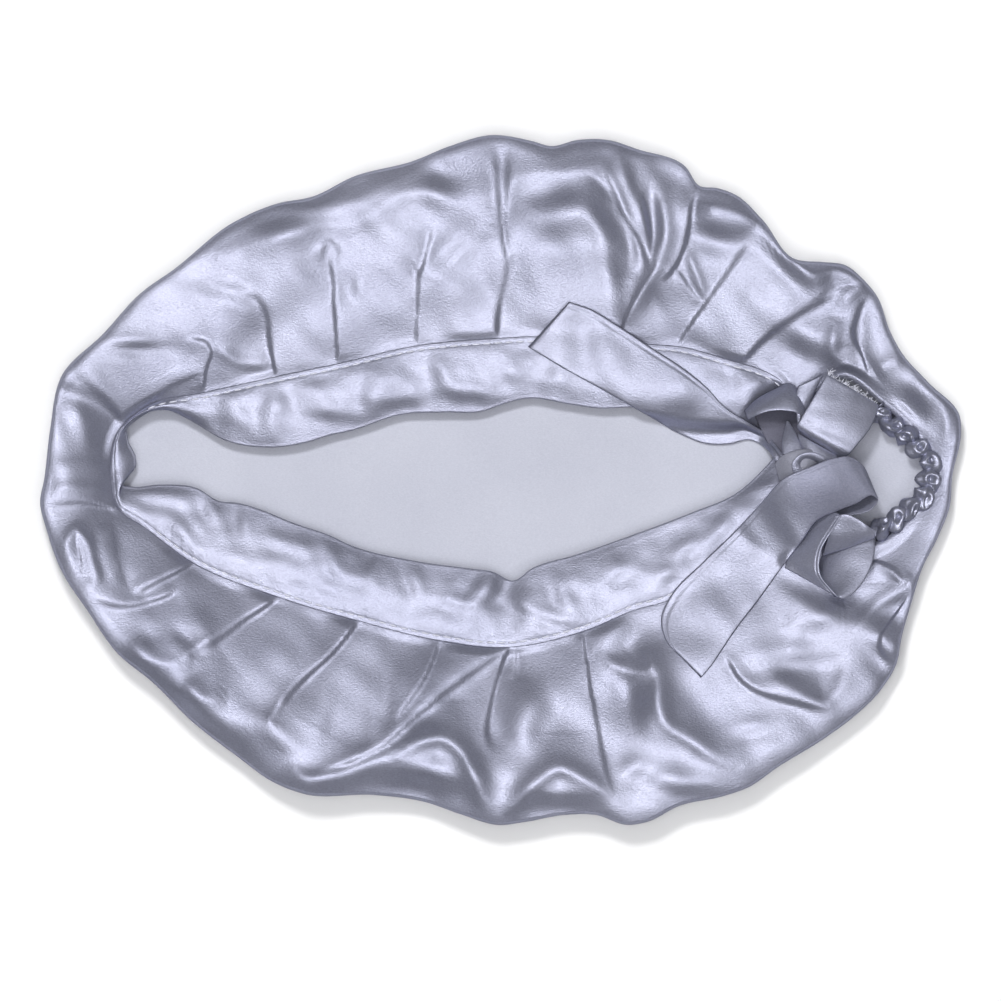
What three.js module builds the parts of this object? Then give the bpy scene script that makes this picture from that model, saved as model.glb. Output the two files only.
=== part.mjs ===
// A satin sleep bonnet lying on its crown with the mouth up, as it is laid out when it comes
// off the head. Millimetres, +Z up, +X from the forehead towards the nape, the origin on the
// table under the middle of the crown.
//
// The bonnet is one gathered circle of satin, the crown. Its front edge is sewn between the two
// layers of a folded band, and its nape edge to a ruched casing with an elastic inside. A tie
// is sewn on where each end of the band meets the casing, and the two ties are knotted.

import * as THREE from "three";

// Crown, as it lies
const crownLength = 350;
const crownDepth = 262;
const clothWall = 1;
const puffHeight = 21;
const puffSlope = 0.8;
const foldDepth = 4.5;
const rimHeight = 9;
const seamHeight = 10;

// Mouth, measured along the seam that joins band and crown. It ends this much inside the crown.
const mouthMargin = 37;
const mouthLength = crownLength - mouthMargin;
const mouthDepth = 118;
const mouthShift = 10.6;
const mouthDrop = 4.8;

// Band: two layers folded at the lip, with the crown's edge between them
const bandLayer = 0.6;
const lipHeight = 8;
const lipRound = 0.9;
const lipGap = 0.5;
const sewnGap = 0.3;

// Nape casing and the elastic in it
const casingWidth = 8.8;
const casingHeight = 5.6;
const ruffleDepth = 0.5;
const elasticWidth = 5;
const elasticThickness = 0.8;
const napeEdge = 0.8;

// Ties and their knot
const tieWidth = 25;
const tieThickness = 1.2;
const knotLength = 18;
const knotBreadth = 10.6;
const knotHeight = 10.4;
const knotRidge = 0.5;
const knotLift = 1.5;
const restGap = 0.5;

// Counts
const columnsPerCrease = 2;
const levelRows = 2;
const casingRuffles = 11;
const stepsPerRuffle = 4;
const casingSides = 10;
const tieSteps = 14;
const tieStrips = 4;
const spanSteps = 4;
const knotSides = 18;
const knotRings = 10;
const knotWraps = 3;

// Creases of the crown, counter-clockwise from the band's end at the knot. Each row holds the
// crease's end on the rim (x, y), its start at the seam (x, y), its depth, and how full the
// puff stands there. The rim is in shares of half the crown's size, the seam in shares of half
// the mouth's.
const creaseShares = [
  [0.72, 0.65, 0.665, 0.34, 0.3, 0.6],
  [0.65, 0.65, 0.59, 0.75, 0.6, 0.85],
  [0.59, 0.71, 0.47, 0.86, 0.3, 1],
  [0.51, 0.83, 0.36, 0.94, 0.8, 1],
  [0.43, 0.86, 0.22, 0.98, 1.0, 1],
  [0.27, 0.97, 0.1, 0.99, 0.5, 1],
  [0.11, 0.97, 0.0, 1.0, 0.4, 1],
  [-0.02, 1.0, -0.08, 0.99, 0.9, 1],
  [-0.19, 0.92, -0.27, 0.94, 0.8, 1],
  [-0.32, 0.88, -0.46, 0.85, 0.9, 1],
  [-0.44, 0.82, -0.61, 0.74, 0.9, 1],
  [-0.58, 0.75, -0.7, 0.69, 0.5, 1],
  [-0.71, 0.61, -0.79, 0.64, 0.9, 1],
  [-0.85, 0.44, -0.89, 0.58, 0.6, 1],
  [-0.96, 0.29, -0.98, 0.41, 0.8, 1],
  [-1.0, -0.04, -0.99, 0.08, 0.7, 1],
  [-0.97, -0.2, -0.97, -0.12, 0.7, 1],
  [-0.84, -0.48, -0.9, -0.28, 0.6, 1],
  [-0.72, -0.64, -0.81, -0.45, 0.8, 1],
  [-0.57, -0.8, -0.61, -0.66, 0.9, 1],
  [-0.43, -0.91, -0.42, -0.83, 0.9, 1],
  [-0.22, -0.92, -0.22, -0.95, 0.7, 1],
  [-0.09, -0.97, -0.05, -0.99, 1.0, 1],
  [0.06, -0.99, 0.04, -0.94, 0.5, 1],
  [0.24, -0.98, 0.15, -0.87, 0.9, 1],
  [0.39, -0.94, 0.27, -0.76, 0.8, 1],
  [0.54, -0.89, 0.42, -0.56, 0.5, 1],
  [0.65, -0.79, 0.52, -0.29, 0.6, 0.85],
  [0.76, -0.69, 0.645, 0.05, 0.4, 0.6],
  [0.85, -0.55, 0.74, -0.34, 0.7, 0.6],
  [0.88, -0.38, 0.86, -0.34, 0.8, 0.75],
  [0.94, -0.19, 0.96, -0.11, 0.6, 1],
  [0.98, 0.04, 0.99, 0.14, 0.5, 1],
  [0.97, 0.22, 0.96, 0.37, 0.6, 1],
  [0.87, 0.37, 0.86, 0.6, 0.8, 1],
  [0.785, 0.58, 0.76, 0.74, 0.5, 0.7],
];
// The band's lip beside each of the creases that start under it, in shares of half the mouth
const lipShares = [
  [0.625, 0.245],
  [0.57, 0.48],
  [0.44, 0.54],
  [0.35, 0.58],
  [0.21, 0.59],
  [0.1, 0.59],
  [0.0, 0.63],
  [-0.07, 0.58],
  [-0.24, 0.53],
  [-0.43, 0.42],
  [-0.56, 0.34],
  [-0.65, 0.32],
  [-0.76, 0.39],
  [-0.86, 0.48],
  [-0.94, 0.36],
  [-0.95, 0.11],
  [-0.92, 0.02],
  [-0.83, 0.01],
  [-0.74, -0.06],
  [-0.56, -0.25],
  [-0.38, -0.39],
  [-0.21, -0.48],
  [-0.06, -0.56],
  [0.03, -0.48],
  [0.13, -0.4],
  [0.23, -0.3],
  [0.39, -0.15],
  [0.48, -0.05],
  [0.605, 0.15],
];
// The casing runs between these creases
const casingFirst = 30;
const casingLast = 34;

// From the crown's raw edge over the puff to the table: how far out from seam to rim, how high
// in shares of the puff, and how much of the fold's depth shows there
const crownRowShares = [
  [0.13, 0.66, 0.6],
  [0.4, 0.93, 1.0],
  [0.7, 0.92, 0.8],
  [0.92, 0.7, 0.4],
];
const footShare = 0.965;
const billowShare = 0.5;
const tuckShare = 0.25;
const halfShare = 0.5;
const nearLipShare = 0.95;
const elasticEndShare = 0.01;

// The middle of the knot, in shares of half the mouth
const knotShares = [0.6633, 0.178];

// The ties' left and right edges (x, y) from the middle of the knot and the height over the
// seam, in shares of the tie's width. The tails lie on what is below them and give no height.
const upperTailShares = [
  [[-0.3, 0.24], [-0.37, 0.06]],
  [[-0.64, 0.58], [-0.79, 0.36]],
  [[-0.91, 0.76], [-1.12, 0.35]],
  [[-1.25, 0.99], [-1.55, 0.4]],
  [[-1.7, 1.35], [-2.1, 0.61]],
  [[-2.23, 1.75], [-2.67, 0.94]],
  [[-2.77, 2.1], [-3.22, 1.28]],
  [[-3.22, 2.37], [-3.74, 1.53]],
  [[-3.54, 2.48], [-4.16, 1.79]],
];
const lowerTailShares = [
  [[-0.26, -0.33], [0.32, -0.82]],
  [[-0.61, -0.65], [-0.03, -1.19]],
  [[-1.06, -1.08], [-0.4, -1.64]],
  [[-1.49, -1.52], [-0.71, -2.11]],
  [[-1.85, -1.9], [-1.06, -2.6]],
  [[-2.08, -2.23], [-1.31, -3.01]],
  [[-2.1, -2.57], [-1.53, -3.24]],
];
const curlShares = [
  [[-0.24, -0.31, 0.48], [0.34, -0.8, 0.48]],
  [[0.15, -0.05, 0.5], [0.67, -0.68, 0.52]],
  [[0.46, 0.09, 0.5], [0.9, -0.59, 0.52]],
  [[0.67, 0.12, 0.44], [1.08, -0.53, 0.46]],
  [[0.76, 0.03, 0.35], [1.16, -0.62, 0.36]],
  [[0.67, -0.05, 0.27], [1.08, -0.7, 0.27]],
  [[0.5, -0.12, 0.24], [0.8, -0.6, 0.24]],
  [[0.34, -0.08, 0.12], [0.42, -0.34, 0.12]],
];
const upperRootShares = [
  [[0.4, 1.38, 0.39], [1.16, 0.88, 0.12]],
  [[0.24, 1.11, 0.36], [1.0, 0.62, 0.18]],
  [[0.09, 0.81, 0.36], [0.84, 0.36, 0.3]],
  [[-0.03, 0.58, 0.38], [0.7, 0.15, 0.38]],
  [[-0.03, 0.49, 0.29], [0.61, 0.12, 0.31]],
  [[0.02, 0.38, 0.21], [0.49, 0.14, 0.22]],
  [[0.04, 0.26, 0.1], [0.3, 0.17, 0.1]],
];
const lowerRootShares = [
  [[0.97, -0.99, 0.06], [1.12, -1.14, 0.16]],
  [[0.65, -1.02, 0.12], [1.08, -1.47, 0.36]],
  [[0.2, -1.26, 0.36], [0.88, -1.87, 0.5]],
  [[-0.21, -1.6, 0.44], [0.55, -2.05, 0.52]],
  [[-0.24, -1.57, 0.56], [0.55, -2.01, 0.64]],
  [[-0.14, -1.34, 0.5], [0.3, -1.69, 0.58]],
  [[0.09, -1.06, 0.38], [0.33, -1.31, 0.46]],
  [[0.2, -0.8, 0.3], [0.4, -0.92, 0.32]],
  [[0.08, -0.2, 0.07], [0.24, -0.22, 0.07]],
];

const satin = { color: 0xa9aecb, roughness: 0.36, metalness: 0.25 };
const satinShade = { color: 0x9ea3c0, roughness: 0.38, metalness: 0.25 };
const elasticYarn = { color: 0xd9dae0, roughness: 0.85, metalness: 0 };

const bonnet = new THREE.Group();
bonnet.name = "hair_bonnet";

// Adds one piece of the bonnet under its own name, with its own material.
function addPiece(name, geometry, finish) {
  geometry.computeVertexNormals();
  const piece = new THREE.Mesh(geometry, new THREE.MeshStandardMaterial(finish));
  piece.name = name;
  bonnet.add(piece);
  piece.updateMatrixWorld(true);
  return piece;
}

// A geometry from points and triangles of their indices, turned so that its faces look out.
function solidFrom(points, triangles) {
  let volume = 0;
  for (const [a, b, c] of triangles) {
    volume += points[a].dot(new THREE.Vector3().crossVectors(points[b], points[c]));
  }
  const facingOut = volume > 0 ? triangles : triangles.map(([a, b, c]) => [a, c, b]);
  const geometry = new THREE.BufferGeometry();
  geometry.setFromPoints(points);
  geometry.setIndex(facingOut.flat());
  return geometry;
}

// Unit normals of a grid of points, rows by columns. A closed grid joins its last column to its
// first.
function gridNormals(grid, closed) {
  return grid.map((row, r) =>
    row.map((_, c) => {
      const last = row.length - 1;
      const before = closed ? (c + last) % row.length : Math.max(c - 1, 0);
      const after = closed ? (c + 1) % row.length : Math.min(c + 1, last);
      const above = grid[Math.max(r - 1, 0)][c];
      const below = grid[Math.min(r + 1, grid.length - 1)][c];
      const across = new THREE.Vector3().subVectors(row[after], row[before]);
      const down = new THREE.Vector3().subVectors(below, above);
      return down.cross(across).normalize();
    }),
  );
}

// A ribbon of even thickness on a grid of middle points.
function ribbonSolid(grid, thickness) {
  const normals = gridNormals(grid, false);
  const points = [];
  for (const side of [1, -1]) {
    grid.forEach((row, r) =>
      row.forEach((point, c) => {
        points.push(point.clone().addScaledVector(normals[r][c], (side * thickness) / 2));
      }),
    );
  }
  const rows = grid.length;
  const columns = grid[0].length;
  const at = (layer, r, c) => (layer * rows + r) * columns + c;
  const triangles = [];
  for (let r = 0; r < rows - 1; r++) {
    for (let c = 0; c < columns - 1; c++) {
      triangles.push([at(0, r, c), at(0, r + 1, c), at(0, r, c + 1)]);
      triangles.push([at(0, r, c + 1), at(0, r + 1, c), at(0, r + 1, c + 1)]);
      triangles.push([at(1, r, c), at(1, r, c + 1), at(1, r + 1, c)]);
      triangles.push([at(1, r, c + 1), at(1, r + 1, c + 1), at(1, r + 1, c)]);
    }
  }
  const border = [];
  for (let c = 0; c < columns - 1; c++) border.push([0, c]);
  for (let r = 0; r < rows - 1; r++) border.push([r, columns - 1]);
  for (let c = columns - 1; c > 0; c--) border.push([rows - 1, c]);
  for (let r = rows - 1; r > 0; r--) border.push([r, 0]);
  border.forEach(([r, c], i) => {
    const [nextR, nextC] = border[(i + 1) % border.length];
    triangles.push([at(0, r, c), at(0, nextR, nextC), at(1, r, c)]);
    triangles.push([at(0, nextR, nextC), at(1, nextR, nextC), at(1, r, c)]);
  });
  return solidFrom(points, triangles);
}

// A bar through a row of sections, each with the same outline and holes at its own place. place
// turns an outline's point into a point in space.
function barSolid(count, outline, holes, place) {
  const loops = [outline, ...holes];
  const perSection = loops.flat().length;
  const points = [];
  for (let s = 0; s < count; s++) {
    loops.flat().forEach((_, i) => points.push(place(s, i)));
  }
  const triangles = [];
  let first = 0;
  for (const loop of loops) {
    for (let i = 0; i < loop.length; i++) {
      const a = first + i;
      const b = first + ((i + 1) % loop.length);
      for (let s = 0; s < count - 1; s++) {
        const here = s * perSection;
        const next = here + perSection;
        triangles.push([here + a, next + a, here + b]);
        triangles.push([here + b, next + a, next + b]);
      }
    }
    first += loop.length;
  }
  const far = (count - 1) * perSection;
  for (const [a, b, c] of THREE.ShapeUtils.triangulateShape(outline, holes)) {
    triangles.push([a, b, c], [far + a, far + c, far + b]);
  }
  return solidFrom(points, triangles);
}

const creases = creaseShares.length;
const columns = creases * columnsPerCrease;

// A smooth line through the points of a table, two shares of the given half sizes a point.
function lineThrough(rows, first, halfLength, halfDepth, shift, drop, closed) {
  const points = rows.map(
    (row) =>
      new THREE.Vector3(row[first] * halfLength + shift, row[first + 1] * halfDepth - drop, 0),
  );
  return new THREE.CatmullRomCurve3(points, closed, "catmullrom");
}
const halfMouth = [mouthLength / 2, mouthDepth / 2, mouthShift, mouthDrop];
const rimLine = lineThrough(creaseShares, 0, crownLength / 2, crownDepth / 2, 0, 0, true);
const seamLine = lineThrough(creaseShares, 2, ...halfMouth, true);
const lipLine = lineThrough(lipShares, 0, ...halfMouth, false);
const bandColumns = (lipShares.length - 1) * columnsPerCrease;

// The band's middle layer at a column, from the seam at 0 to the lip at 1.
function bandMiddle(column, share) {
  const seam = seamLine.getPoint(column / columns);
  seam.z = seamHeight - clothWall / 2;
  const lip = lipLine.getPoint(column / bandColumns);
  lip.z = lipHeight;
  return seam.lerp(lip, share);
}

// The way from the seam into the mouth, level and across the seam.
function inwardAt(t) {
  const along = seamLine.getTangent(t);
  return new THREE.Vector3(-along.y, along.x, 0).normalize();
}

// Depth of the folds at a column: the creases lie in the valleys, and the cloth between two of
// them billows up.
function foldAt(column) {
  const crease = Math.floor(column / columnsPerCrease);
  const depth = creaseShares[crease][4];
  const next = creaseShares[(crease + 1) % creases][4];
  return column % columnsPerCrease === 0 ? -depth : (billowShare * (depth + next)) / 2;
}

// How full the puff stands at a column.
function fullnessAt(column) {
  const crease = Math.floor(column / columnsPerCrease);
  const between = (column % columnsPerCrease) / columnsPerCrease;
  const next = creaseShares[(crease + 1) % creases][5];
  return THREE.MathUtils.lerp(creaseShares[crease][5], next, between);
}

// The rim at each column, fitted to the crown's length and depth with its middle over the origin.
function rimPoints() {
  const points = [];
  for (let column = 0; column < columns; column++) points.push(rimLine.getPoint(column / columns));
  const box = new THREE.Box3().setFromPoints(points);
  const middle = box.getCenter(new THREE.Vector3());
  const size = box.getSize(new THREE.Vector3());
  return points.map((point) => {
    const x = ((point.x - middle.x) * crownLength) / size.x;
    const y = ((point.y - middle.y) * crownDepth) / size.y;
    return new THREE.Vector3(x, y, rimHeight);
  });
}

// The crown's outer surface: its raw edge, the seam, the puff and the ring that it rests on.
function crownGrid() {
  const rawEdge = [];
  const seamRow = [];
  const puffRows = crownRowShares.map(() => []);
  const rimRow = [];
  const footRow = [];
  const rims = rimPoints();
  for (let column = 0; column < columns; column++) {
    const seam = seamLine.getPoint(column / columns).setZ(seamHeight);
    const rim = rims[column];
    if (column > 0 && column < bandColumns) {
      const tucked = bandMiddle(column, tuckShare);
      rawEdge.push(tucked.setZ(tucked.z + clothWall / 2));
    } else {
      rawEdge.push(seam.clone().addScaledVector(inwardAt(column / columns), napeEdge));
    }
    seamRow.push(seam);
    const width = Math.hypot(rim.x - seam.x, rim.y - seam.y);
    const fullness = fullnessAt(column);
    const crest = seamHeight + fullness * Math.min(puffHeight - seamHeight, puffSlope * width);
    crownRowShares.forEach(([out, height, fold], r) => {
      const point = seam.clone().lerp(rim, out);
      const swell = (fold * foldDepth * foldAt(column) * crest) / puffHeight;
      puffRows[r].push(point.setZ(height * crest + swell));
    });
    rimRow.push(rim);
    footRow.push(new THREE.Vector3(rim.x * footShare, rim.y * footShare, 0));
  }
  return [rawEdge, seamRow, ...puffRows, rimRow, footRow];
}

// The crown: one cloth, open at the mouth, flat where it rests. Its first two rows, the raw edge
// and the seam, lie level.
function crownSolid() {
  const outer = crownGrid();
  const normals = gridNormals(outer, true);
  const rows = outer.length;
  const inner = outer.map((row, r) =>
    row.map((point, c) => {
      if (r < levelRows) return point.clone().setZ(point.z - clothWall);
      const moved = point.clone().addScaledVector(normals[r][c], -clothWall);
      return r === rows - 1 ? moved.setZ(clothWall) : moved;
    }),
  );
  const points = [...outer.flat(), ...inner.flat()];
  const outerMiddle = points.push(new THREE.Vector3(0, 0, 0)) - 1;
  const innerMiddle = points.push(new THREE.Vector3(0, 0, clothWall)) - 1;
  const at = (layer, r, c) => (layer * rows + r) * columns + (c % columns);
  const triangles = [];
  for (let c = 0; c < columns; c++) {
    for (let r = 0; r < rows - 1; r++) {
      triangles.push([at(0, r, c), at(0, r + 1, c), at(0, r, c + 1)]);
      triangles.push([at(0, r, c + 1), at(0, r + 1, c), at(0, r + 1, c + 1)]);
      triangles.push([at(1, r, c), at(1, r, c + 1), at(1, r + 1, c)]);
      triangles.push([at(1, r, c + 1), at(1, r + 1, c + 1), at(1, r + 1, c)]);
    }
    triangles.push([at(0, 0, c), at(0, 0, c + 1), at(1, 0, c)]);
    triangles.push([at(0, 0, c + 1), at(1, 0, c + 1), at(1, 0, c)]);
    triangles.push([at(0, rows - 1, c), outerMiddle, at(0, rows - 1, c + 1)]);
    triangles.push([at(1, rows - 1, c), at(1, rows - 1, c + 1), innerMiddle]);
  }
  return solidFrom(points, triangles);
}

// The band's section in (share from seam to lip, height over its middle layer): a hairpin whose
// slot takes the crown's edge with room on both sides.
function bandSection() {
  const slot = clothWall / 2 + sewnGap;
  const lip = lipGap / 2;
  return [
    [0, -slot - bandLayer],
    [halfShare, -slot - bandLayer],
    [nearLipShare, -lip - bandLayer],
    [1, 0],
    [nearLipShare, lip + bandLayer],
    [halfShare, slot + bandLayer],
    [0, slot + bandLayer],
    [0, slot],
    [halfShare, slot],
    [nearLipShare, lip],
    [nearLipShare, -lip],
    [halfShare, -slot],
    [0, -slot],
  ];
}

function bandWidth(column) {
  return bandMiddle(column, 0).distanceTo(bandMiddle(column, 1));
}

function bandSolid() {
  const section = bandSection();
  const outline = section.map(([share, height]) => new THREE.Vector2(share * tieWidth, height));
  return barSolid(bandColumns + 1, outline, [], (column, i) => {
    const [sectionShare, height] = section[i];
    const share = Math.max(sectionShare, sewnGap / bandWidth(column));
    const point = bandMiddle(column, share);
    const rounding = share === 1 ? lipRound : 0;
    const inward = bandMiddle(column, 1).sub(bandMiddle(column, 0)).setZ(0).normalize();
    return point.addScaledVector(inward, rounding).setZ(point.z + height);
  });
}

// The nape casing's middle line runs inside the crown's edge, clear of its ruffles.
const casingInset = napeEdge + 3 * sewnGap + casingWidth / 2 + ruffleDepth;
function casingFrame(share) {
  const t = (casingFirst + (casingLast - casingFirst) * share) / creases;
  const inward = inwardAt(t);
  const middle = seamLine.getPoint(t).addScaledVector(inward, casingInset);
  return {
    middle: middle.setZ(seamHeight - clothWall / 2),
    outward: inward.clone().negate(),
  };
}

const napeSteps = casingRuffles * stepsPerRuffle + 1;

// A flat section swept along the casing's line: width lies outward, height stands up.
function napeSolid(steps, firstShare, lastShare, outline, holes, grow) {
  const flat = [outline, ...holes].flat();
  return barSolid(steps, outline, holes, (s, i) => {
    const share = firstShare + ((lastShare - firstShare) * s) / (steps - 1);
    const { middle, outward } = casingFrame(share);
    const extra = i < outline.length ? grow(share, i / outline.length) : 0;
    const point = flat[i].clone();
    point.setLength(point.length() + extra);
    return middle.addScaledVector(outward, point.x).setZ(middle.z + point.y);
  });
}

function rectangle(width, height) {
  return [
    new THREE.Vector2(width / 2, height / 2),
    new THREE.Vector2(-width / 2, height / 2),
    new THREE.Vector2(-width / 2, -height / 2),
    new THREE.Vector2(width / 2, -height / 2),
  ];
}

// The ruched sleeve: an oval tube whose gathers bulge and pinch along it, staggered round it.
function casingSolid() {
  const oval = [];
  for (let i = 0; i < casingSides; i++) {
    const angle = (i / casingSides) * 2 * Math.PI;
    oval.push(
      new THREE.Vector2(
        (Math.cos(angle) * casingWidth) / 2,
        (Math.sin(angle) * casingHeight) / 2,
      ),
    );
  }
  const bore = rectangle(elasticWidth + 3 * sewnGap, elasticThickness + 3 * sewnGap);
  const turn = 2 * Math.PI;
  const ruffle = (share, round) =>
    ruffleDepth * Math.cos(turn * (casingRuffles * share + Math.sin(turn * round) / 2));
  return napeSolid(napeSteps, 0, 1, oval, [bore.reverse()], ruffle);
}

function elasticSolid() {
  const strip = rectangle(elasticWidth, elasticThickness);
  const last = 1 - elasticEndShare;
  return napeSolid(napeSteps, elasticEndShare, last, strip, [], () => 0);
}

// The knot: an oval lump with the wraps of the ribbon standing round it as low ridges.
const knotMiddle = new THREE.Vector3(
  mouthShift + (knotShares[0] * mouthLength) / 2,
  (knotShares[1] * mouthDepth) / 2 - mouthDrop,
  seamHeight + knotLift,
);
function knotSolid() {
  const points = [];
  const pointAt = (ring, side) => {
    const slope = (ring / knotRings) * Math.PI;
    const round = (side / knotSides) * 2 * Math.PI;
    const ridge = knotRidge * Math.cos(knotWraps * slope * 2) * Math.sin(slope);
    return new THREE.Vector3(
      (Math.cos(slope) * knotLength) / 2,
      Math.sin(slope) * Math.cos(round) * (knotBreadth / 2 - knotRidge + ridge),
      Math.sin(slope) * Math.sin(round) * (knotHeight / 2 - knotRidge + ridge),
    ).add(knotMiddle);
  };
  for (let ring = 1; ring < knotRings; ring++) {
    for (let side = 0; side < knotSides; side++) points.push(pointAt(ring, side));
  }
  const nape = points.push(pointAt(0, 0)) - 1;
  const face = points.push(pointAt(knotRings, 0)) - 1;
  const at = (ring, side) => (ring - 1) * knotSides + (side % knotSides);
  const triangles = [];
  for (let side = 0; side < knotSides; side++) {
    triangles.push([nape, at(1, side), at(1, side + 1)]);
    triangles.push([face, at(knotRings - 1, side + 1), at(knotRings - 1, side)]);
    for (let ring = 1; ring < knotRings - 1; ring++) {
      triangles.push([at(ring, side), at(ring + 1, side), at(ring, side + 1)]);
      triangles.push([at(ring, side + 1), at(ring + 1, side), at(ring + 1, side + 1)]);
    }
  }
  return solidFrom(points, triangles);
}

// A tie's middle points from its table of edges.
function tieGrid(shares) {
  const edge = (side) =>
    new THREE.CatmullRomCurve3(
      shares.map(
        (row) =>
          new THREE.Vector3(
            knotMiddle.x + row[side][0] * tieWidth,
            knotMiddle.y + row[side][1] * tieWidth,
            seamHeight + (row[side][2] ?? 0) * tieWidth,
          ),
      ),
      false,
      "centripetal",
    );
  const left = edge(0);
  const right = edge(1);
  const grid = [];
  for (let step = 0; step <= tieSteps; step++) {
    const row = [];
    for (let strip = 0; strip <= tieStrips; strip++) {
      const start = left.getPoint(step / tieSteps);
      row.push(start.lerp(right.getPoint(step / tieSteps), strip / tieStrips));
    }
    grid.push(row);
  }
  return grid;
}

// Lays a tie's middle points on the pieces below, from its start at the knot: each point clears
// the highest thing under it and half-way to its neighbours.
const ray = new THREE.Raycaster();
const overhead = 2 * (puffHeight + tieWidth);
const straightDown = new THREE.Vector3(0, 0, -1);
function heightBelow(point, pieces) {
  ray.set(new THREE.Vector3(point.x, point.y, overhead), straightDown);
  const hits = ray.intersectObjects(pieces, false);
  return hits.length ? hits[0].point.z : 0;
}
function layOn(grid, pieces, startHeight) {
  const around = [-1, 0, 1].flatMap((dr) => [-1, 0, 1].map((dc) => [dr, dc]));
  const beyond = (point, opposite) => point.clone().multiplyScalar(2).sub(opposite);
  const lying = grid.map((row, r) =>
    row.map((point, c) => {
      const heights = around.flatMap(([dr, dc]) => {
        const opposite = grid[r - dr]?.[c - dc] ?? point;
        const near = grid[r + dr]?.[c + dc] ?? beyond(point, opposite);
        return [heightBelow(point.clone().lerp(near, halfShare), pieces), heightBelow(near, pieces)];
      });
      return Math.max(...heights) + restGap + tieThickness / 2;
    }),
  );
  grid.forEach((row, r) =>
    row.forEach((point, c) => {
      const spanning = THREE.MathUtils.lerp(startHeight, seamHeight, Math.min(r / spanSteps, 1));
      point.z = Math.max(spanning, lying[r][c]);
    }),
  );
  return grid;
}

const crown = addPiece("crown", crownSolid(), satin);
const band = addPiece("front_band", bandSolid(), satin);
addPiece("nape_casing", casingSolid(), satinShade);
addPiece("nape_elastic", elasticSolid(), elasticYarn);
const knot = addPiece("tie_knot", knotSolid(), satin);
const upperTail = layOn(tieGrid(upperTailShares), [crown, band], knotMiddle.z);
addPiece("upper_tie_tail", ribbonSolid(upperTail, tieThickness), satin);
addPiece("upper_tie_root", ribbonSolid(tieGrid(upperRootShares), tieThickness), satinShade);
const lowerRoot = ribbonSolid(tieGrid(lowerRootShares), tieThickness);
const root = addPiece("lower_tie_root", lowerRoot, satin);
addPiece("lower_tie_curl", ribbonSolid(tieGrid(curlShares), tieThickness), satinShade);
const curlTop = seamHeight + curlShares[0][0][2] * tieWidth;
const lowerTail = layOn(tieGrid(lowerTailShares), [crown, band, knot, root], curlTop);
addPiece("lower_tie_tail", ribbonSolid(lowerTail, tieThickness), satin);

export default bonnet;
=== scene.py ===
import math

import bpy
import numpy as np
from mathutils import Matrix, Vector
from mathutils.bvhtree import BVHTree


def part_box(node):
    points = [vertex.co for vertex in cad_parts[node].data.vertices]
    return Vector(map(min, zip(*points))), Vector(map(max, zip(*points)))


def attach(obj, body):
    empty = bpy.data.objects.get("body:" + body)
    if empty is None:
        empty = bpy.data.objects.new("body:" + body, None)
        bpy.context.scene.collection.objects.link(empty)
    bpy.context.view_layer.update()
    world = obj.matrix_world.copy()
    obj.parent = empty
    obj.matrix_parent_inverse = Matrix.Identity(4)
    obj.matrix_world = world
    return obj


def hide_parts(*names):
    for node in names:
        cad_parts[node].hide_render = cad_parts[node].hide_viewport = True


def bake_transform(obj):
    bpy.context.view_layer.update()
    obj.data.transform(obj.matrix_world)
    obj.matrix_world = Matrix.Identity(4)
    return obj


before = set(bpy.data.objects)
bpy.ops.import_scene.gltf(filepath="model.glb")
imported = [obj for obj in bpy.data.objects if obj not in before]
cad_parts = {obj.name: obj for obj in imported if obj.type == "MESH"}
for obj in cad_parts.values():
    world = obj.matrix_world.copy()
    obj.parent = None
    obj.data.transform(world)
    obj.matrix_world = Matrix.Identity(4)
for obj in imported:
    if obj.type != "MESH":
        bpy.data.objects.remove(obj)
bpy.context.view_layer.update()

MM = 0.001

# The photograph's pixels, and how they lie on the frame. A pixel is this wide at the crown's rim.
PHOTO_MIDDLE = 500.5
PHOTO_ORIGIN = (501.0, 480.5)
CROWN_PIXELS = 921
crown_low, crown_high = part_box("crown")
PIXEL = (crown_high.x - crown_low.x) / CROWN_PIXELS
RIM_HEIGHT = 9 * MM
CAMERA_HEIGHT = 2.5
SENSOR_WIDTH = 36
camera_x = (PHOTO_MIDDLE - PHOTO_ORIGIN[0]) * PIXEL
camera_y = (PHOTO_ORIGIN[1] - PHOTO_MIDDLE) * PIXEL

# Heights over the table
SEAM_HEIGHT = 10 * MM
PUFF_HEIGHT = 19 * MM
LIP_HEIGHT = 8.2 * MM
FLOOR_CLOTH = 1.2 * MM
LOWEST_FOLD = 4 * MM

# Cloth and ribbons
CLOTH = 0.35 * MM
RIBBON = 0.75 * MM
RIBBON_GAP = 0.35 * MM

# The crown's outline in the photograph, clockwise from the forehead
CROWN_OUTLINE = [
    (44, 480), (50, 430), (62, 375), (103, 334), (142, 292), (173, 270), (234, 222), (279, 203),
    (311, 197), (355, 176), (413, 161), (450, 146), (492, 135), (532, 141), (551, 146), (577, 140),
    (609, 140), (637, 149), (685, 166), (700, 186), (717, 188), (736, 195), (762, 219), (795, 259),
    (823, 262), (845, 265), (864, 280), (877, 296), (890, 331), (902, 353), (928, 382), (960, 417),
    (961, 433), (952, 478), (950, 505), (938, 537), (922, 569), (912, 601), (902, 636), (896, 665),
    (880, 691), (851, 719), (819, 742), (778, 767), (749, 787), (724, 796), (679, 806), (647, 822),
    (628, 825), (596, 815), (564, 815), (525, 822), (499, 825), (460, 814), (425, 802), (374, 795),
    (304, 794), (275, 783), (234, 754), (196, 725), (151, 681), (119, 655), (87, 610), (62, 572),
    (46, 528), (40, 502),
]
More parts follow.
